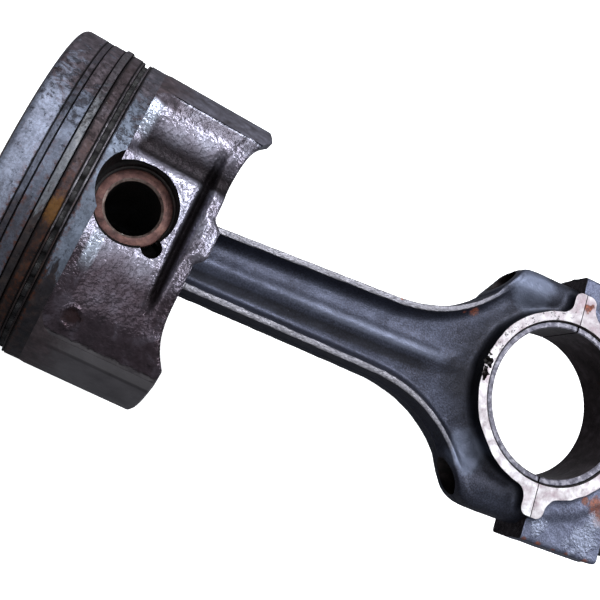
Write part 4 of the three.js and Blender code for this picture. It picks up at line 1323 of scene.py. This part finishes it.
def build_shell(name, node, facing, seed):
    """Half of the plain bearing; facing is -1 on the rod side and 1 on the cap side."""
    c, h, inner, outer, round_off = 0.35, SHELL_HALF, SHELL_INNER_R, SHELL_R, 0.15
    mats = [shell_metal(name + "_plating", seed), shell_face_metal(name + "_face", seed + 1)]
    slip = SHELL_SEAM / ((outer + inner) / 2)
    start = math.pi / 2 * -facing
    line = [
        (inner, -h + c, 1), (inner, 0, 1), (inner, h - c, 0), (inner + c, h, 0), (outer - round_off, h, 0),
        (outer, h - round_off, 0), (outer, -h + round_off, 0), (outer - round_off, -h, 0), (inner + c, -h, 0),
    ]
    made = turned(line, 160, arc=(start + slip, start + math.pi - slip), materials=mats, closed=True)
    piece(made, name, "rod_group", node)


def build_bush():
    tones = ((74, 50, 30), (128, 94, 56), (170, 136, 88))
    bronze = dark_metal("bush_bronze", tones, 4.0, (0.25, 0.42), 0.95, 5.0)
    r, h, c = BORE_R, EYE_HALF, 0.35
    line = [(r, -h + c), (r, h - c), (r + c, h), (BUSH_R, h), (BUSH_R, -h), (r + c, -h)]
    made = turned(line, 128, centre=(-ROD_LENGTH, 0, 0), materials=[bronze], closed=True)
    piece(made, "bush", "rod_group", "small_end_bush")


def bolt_shank(seat, materials):
    """Shank with a chamfered tip and a thread cut as one turning groove."""
    pitch, tip, thread_end, depth = 1.0, -17.0, -2.0, 0.55
    sides, rows = 72, 120
    levels = [tip + (thread_end - tip) * i / rows for i in range(rows + 1)] + [6.0, seat - 0.01]
    rings = [[(tip, 0.0, 0.0)]]
    for x in levels:
        fade = min(1.0, max(0.0, (thread_end - x) / 1.2))
        chamfer = max(0.0, 0.8 - (x - tip))
        ring = []
        for k in range(sides):
            a = 2 * math.pi * k / sides
            turn = ((x - tip) / pitch - k / sides) % 1.0
            r = BOLT_R - depth * abs(2 * turn - 1) * fade - chamfer
            ring.append((x, r * math.cos(a), r * math.sin(a)))
        rings.append(ring)
    return loft(rings + [[(seat - 0.01, 0.0, 0.0)]], materials)


def build_bolt(name, node, side):
    """Flanged hexagon bolt with a threaded end."""
    tones = ((26, 25, 28), (48, 48, 54), (84, 84, 92))
    steel = dark_metal(name + "_steel", tones, 3.0, (0.3, 0.5), 0.85, 6.0 + side)
    options = {"axis": "x", "materials": [steel]}
    seat = CAP_BOSS_X + 0.1
    top, head = seat + 1.6, seat + 7.0
    flange = [
        (0, seat - 0.3), (BOLT_R, seat - 0.3), (BOLT_R, seat), (7.4, seat), (7.6, seat + 0.2),
        (7.6, top - 0.6), (7.3, top - 0.2), (6.2, top + 0.5), (0, top + 0.5),
    ]
    body = combine(bolt_shank(seat, [steel]), turned(flange, 96, **options), "UNION")
    hexagon = cylinder(6.9, top, head, 6, **options)
    cone = [(0, top - 1), (8, top - 1), (8, head - 1.7), (5.6, head + 0.02), (0, head + 0.02)]
    combine(hexagon, turned(cone, 96, **options), "INTERSECT")
    cut(hexagon, turned([(0, head - 0.6), (3.2, head - 0.6), (3.8, head + 1), (0, head + 1)], 48, **options))
    combine(body, hexagon, "UNION")
    body.data.transform(Matrix.Translation((0, side * BOLT_Y, 0)))
    piece(body, name, "rod_group", node)


# ---------------------------------------------------------------- floor, light, camera
def aim(thing, at, target, up=(0, 0, 1)):
    """Puts a lamp or camera at a place, looking at target."""
    back = (Vector(at) - Vector(target)).normalized()
    right = Vector(up).cross(back).normalized()
    turn = Matrix((right, back.cross(right), back)).transposed().to_4x4()
    turn.translation = Vector(at)
    thing.matrix_world = turn


def build_stage():
    lowest = min(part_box("second_compression_ring")[0].z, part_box("piston")[0].z)
    half, gap = 12.0, 0.0003
    mesh = bpy.data.meshes.new("floor")
    z = lowest - gap
    corners = [(-half, -half, z), (half, -half, z), (half, half, z), (-half, half, z)]
    mesh.from_pydata(corners, [], [(0, 1, 2, 3)])
    floor = bpy.data.objects.new("floor", mesh)
    bpy.context.scene.collection.objects.link(floor)
    mesh.materials.append(floor_paper())
    bpy.context.scene.world = studio_world()
    middle = (Vector(cad_box[0]) + Vector(cad_box[1])) / 2
    lamps = [
        ("key", (0.14, 0.44, 0.72), 0.36, 6.0, (0.95, 0.97, 1.0)),
        ("side", (0.08, 0.78, 0.30), 0.60, 1.5, (0.93, 0.96, 1.0)),
        ("end", (0.78, 0.22, 0.42), 0.36, 4.5, (0.93, 0.96, 1.0)),
        ("over", (-0.16, -0.10, 0.86), 0.50, 1.8, (0.95, 0.97, 1.0)),
    ]
    for name, offset, size, power, colour in lamps:
        light = bpy.data.lights.new(name, "AREA")
        light.shape = "SQUARE"
        light.size = size
        light.energy = power
        light.color = colour
        lamp = bpy.data.objects.new(name, light)
        bpy.context.scene.collection.objects.link(lamp)
        aim(lamp, middle + Vector(offset), middle)


def floor_paper():
    """Matt white paper, which gives back less light to the metal than it shows."""
    s = Surface("floor_paper")
    seen = s.node("LightPath").outputs["Is Camera Ray"]
    tone = s.ramp(s.noise(40.0, 3, 0.5), [(0.3, (250, 250, 251)), (0.7, (254, 254, 254))])
    put(s.tree, s.shader, {"Emission Color": tone, "Emission Strength": s.times(seen, 0.75)})
    s.colour = s.mix(seen, (84, 84, 88), tone)
    return s.finish(0.85, 0.0)


def studio_world():
    """Light from all round, less of it from +Y, behind a backdrop that the camera sees as white."""
    world = bpy.data.worlds.new("studio")
    world.use_nodes = True
    tree = world.node_tree
    tree.nodes.clear()
    split = add_node(tree, "SeparateXYZ", {0: add_node(tree, "TexCoord", {}).outputs["Generated"]})
    side = {"Value": split.outputs["Y"], "From Min": -0.3, "From Max": 0.9, "To Min": 0.52, "To Max": 0.34}
    side = add_node(tree, "MapRange", side, interpolation_type="SMOOTHSTEP").outputs["Result"]
    light = add_node(tree, "Background", {"Color": (0.94, 0.97, 1.0, 1.0), "Strength": side})
    backdrop = add_node(tree, "Background", {"Color": (1.0, 1.0, 1.0, 1.0)})
    seen = add_node(tree, "LightPath", {}).outputs["Is Camera Ray"]
    shown = add_node(tree, "MixShader", {0: seen, 1: light.outputs[0], 2: backdrop.outputs[0]})
    add_node(tree, "OutputWorld", {"Surface": shown.outputs[0]})
    return world


def build_camera():
    """Above the piston, looking along the rod towards the big end."""
    data = bpy.data.cameras.new("view")
    data.sensor_width = 36.0
    data.lens = 51.75
    data.clip_start = 0.01
    camera = bpy.data.objects.new("view", data)
    bpy.context.scene.collection.objects.link(camera)
    from_pin = Vector((-10.2, -55.1, 235.2))
    at = (Vector(pin_at) + from_pin) * MM
    ahead = Vector((0.2602, 0.2246, -0.9391))
    aim(camera, at, at + ahead, up=(-0.3687, 0.9220, 0.1183))
    bpy.context.scene.camera = camera


build_piston()
build_rings()
build_pin()
build_clip("clip_front", "circlip_front", CLIP_Z)
build_clip("clip_rear", "circlip_rear", -CLIP_Z)
build_rod()
build_cap()
build_shell("shell_rod_side", "bearing_shell_upper", -1, 61.0)
build_shell("shell_cap_side", "bearing_shell_lower", 1, 67.0)
build_bush()
build_bolt("bolt_right", "rod_bolt_right", 1)
build_bolt("bolt_left", "rod_bolt_left", -1)
build_stage()
build_camera()

scene = bpy.context.scene
scene.view_settings.view_transform = "Standard"
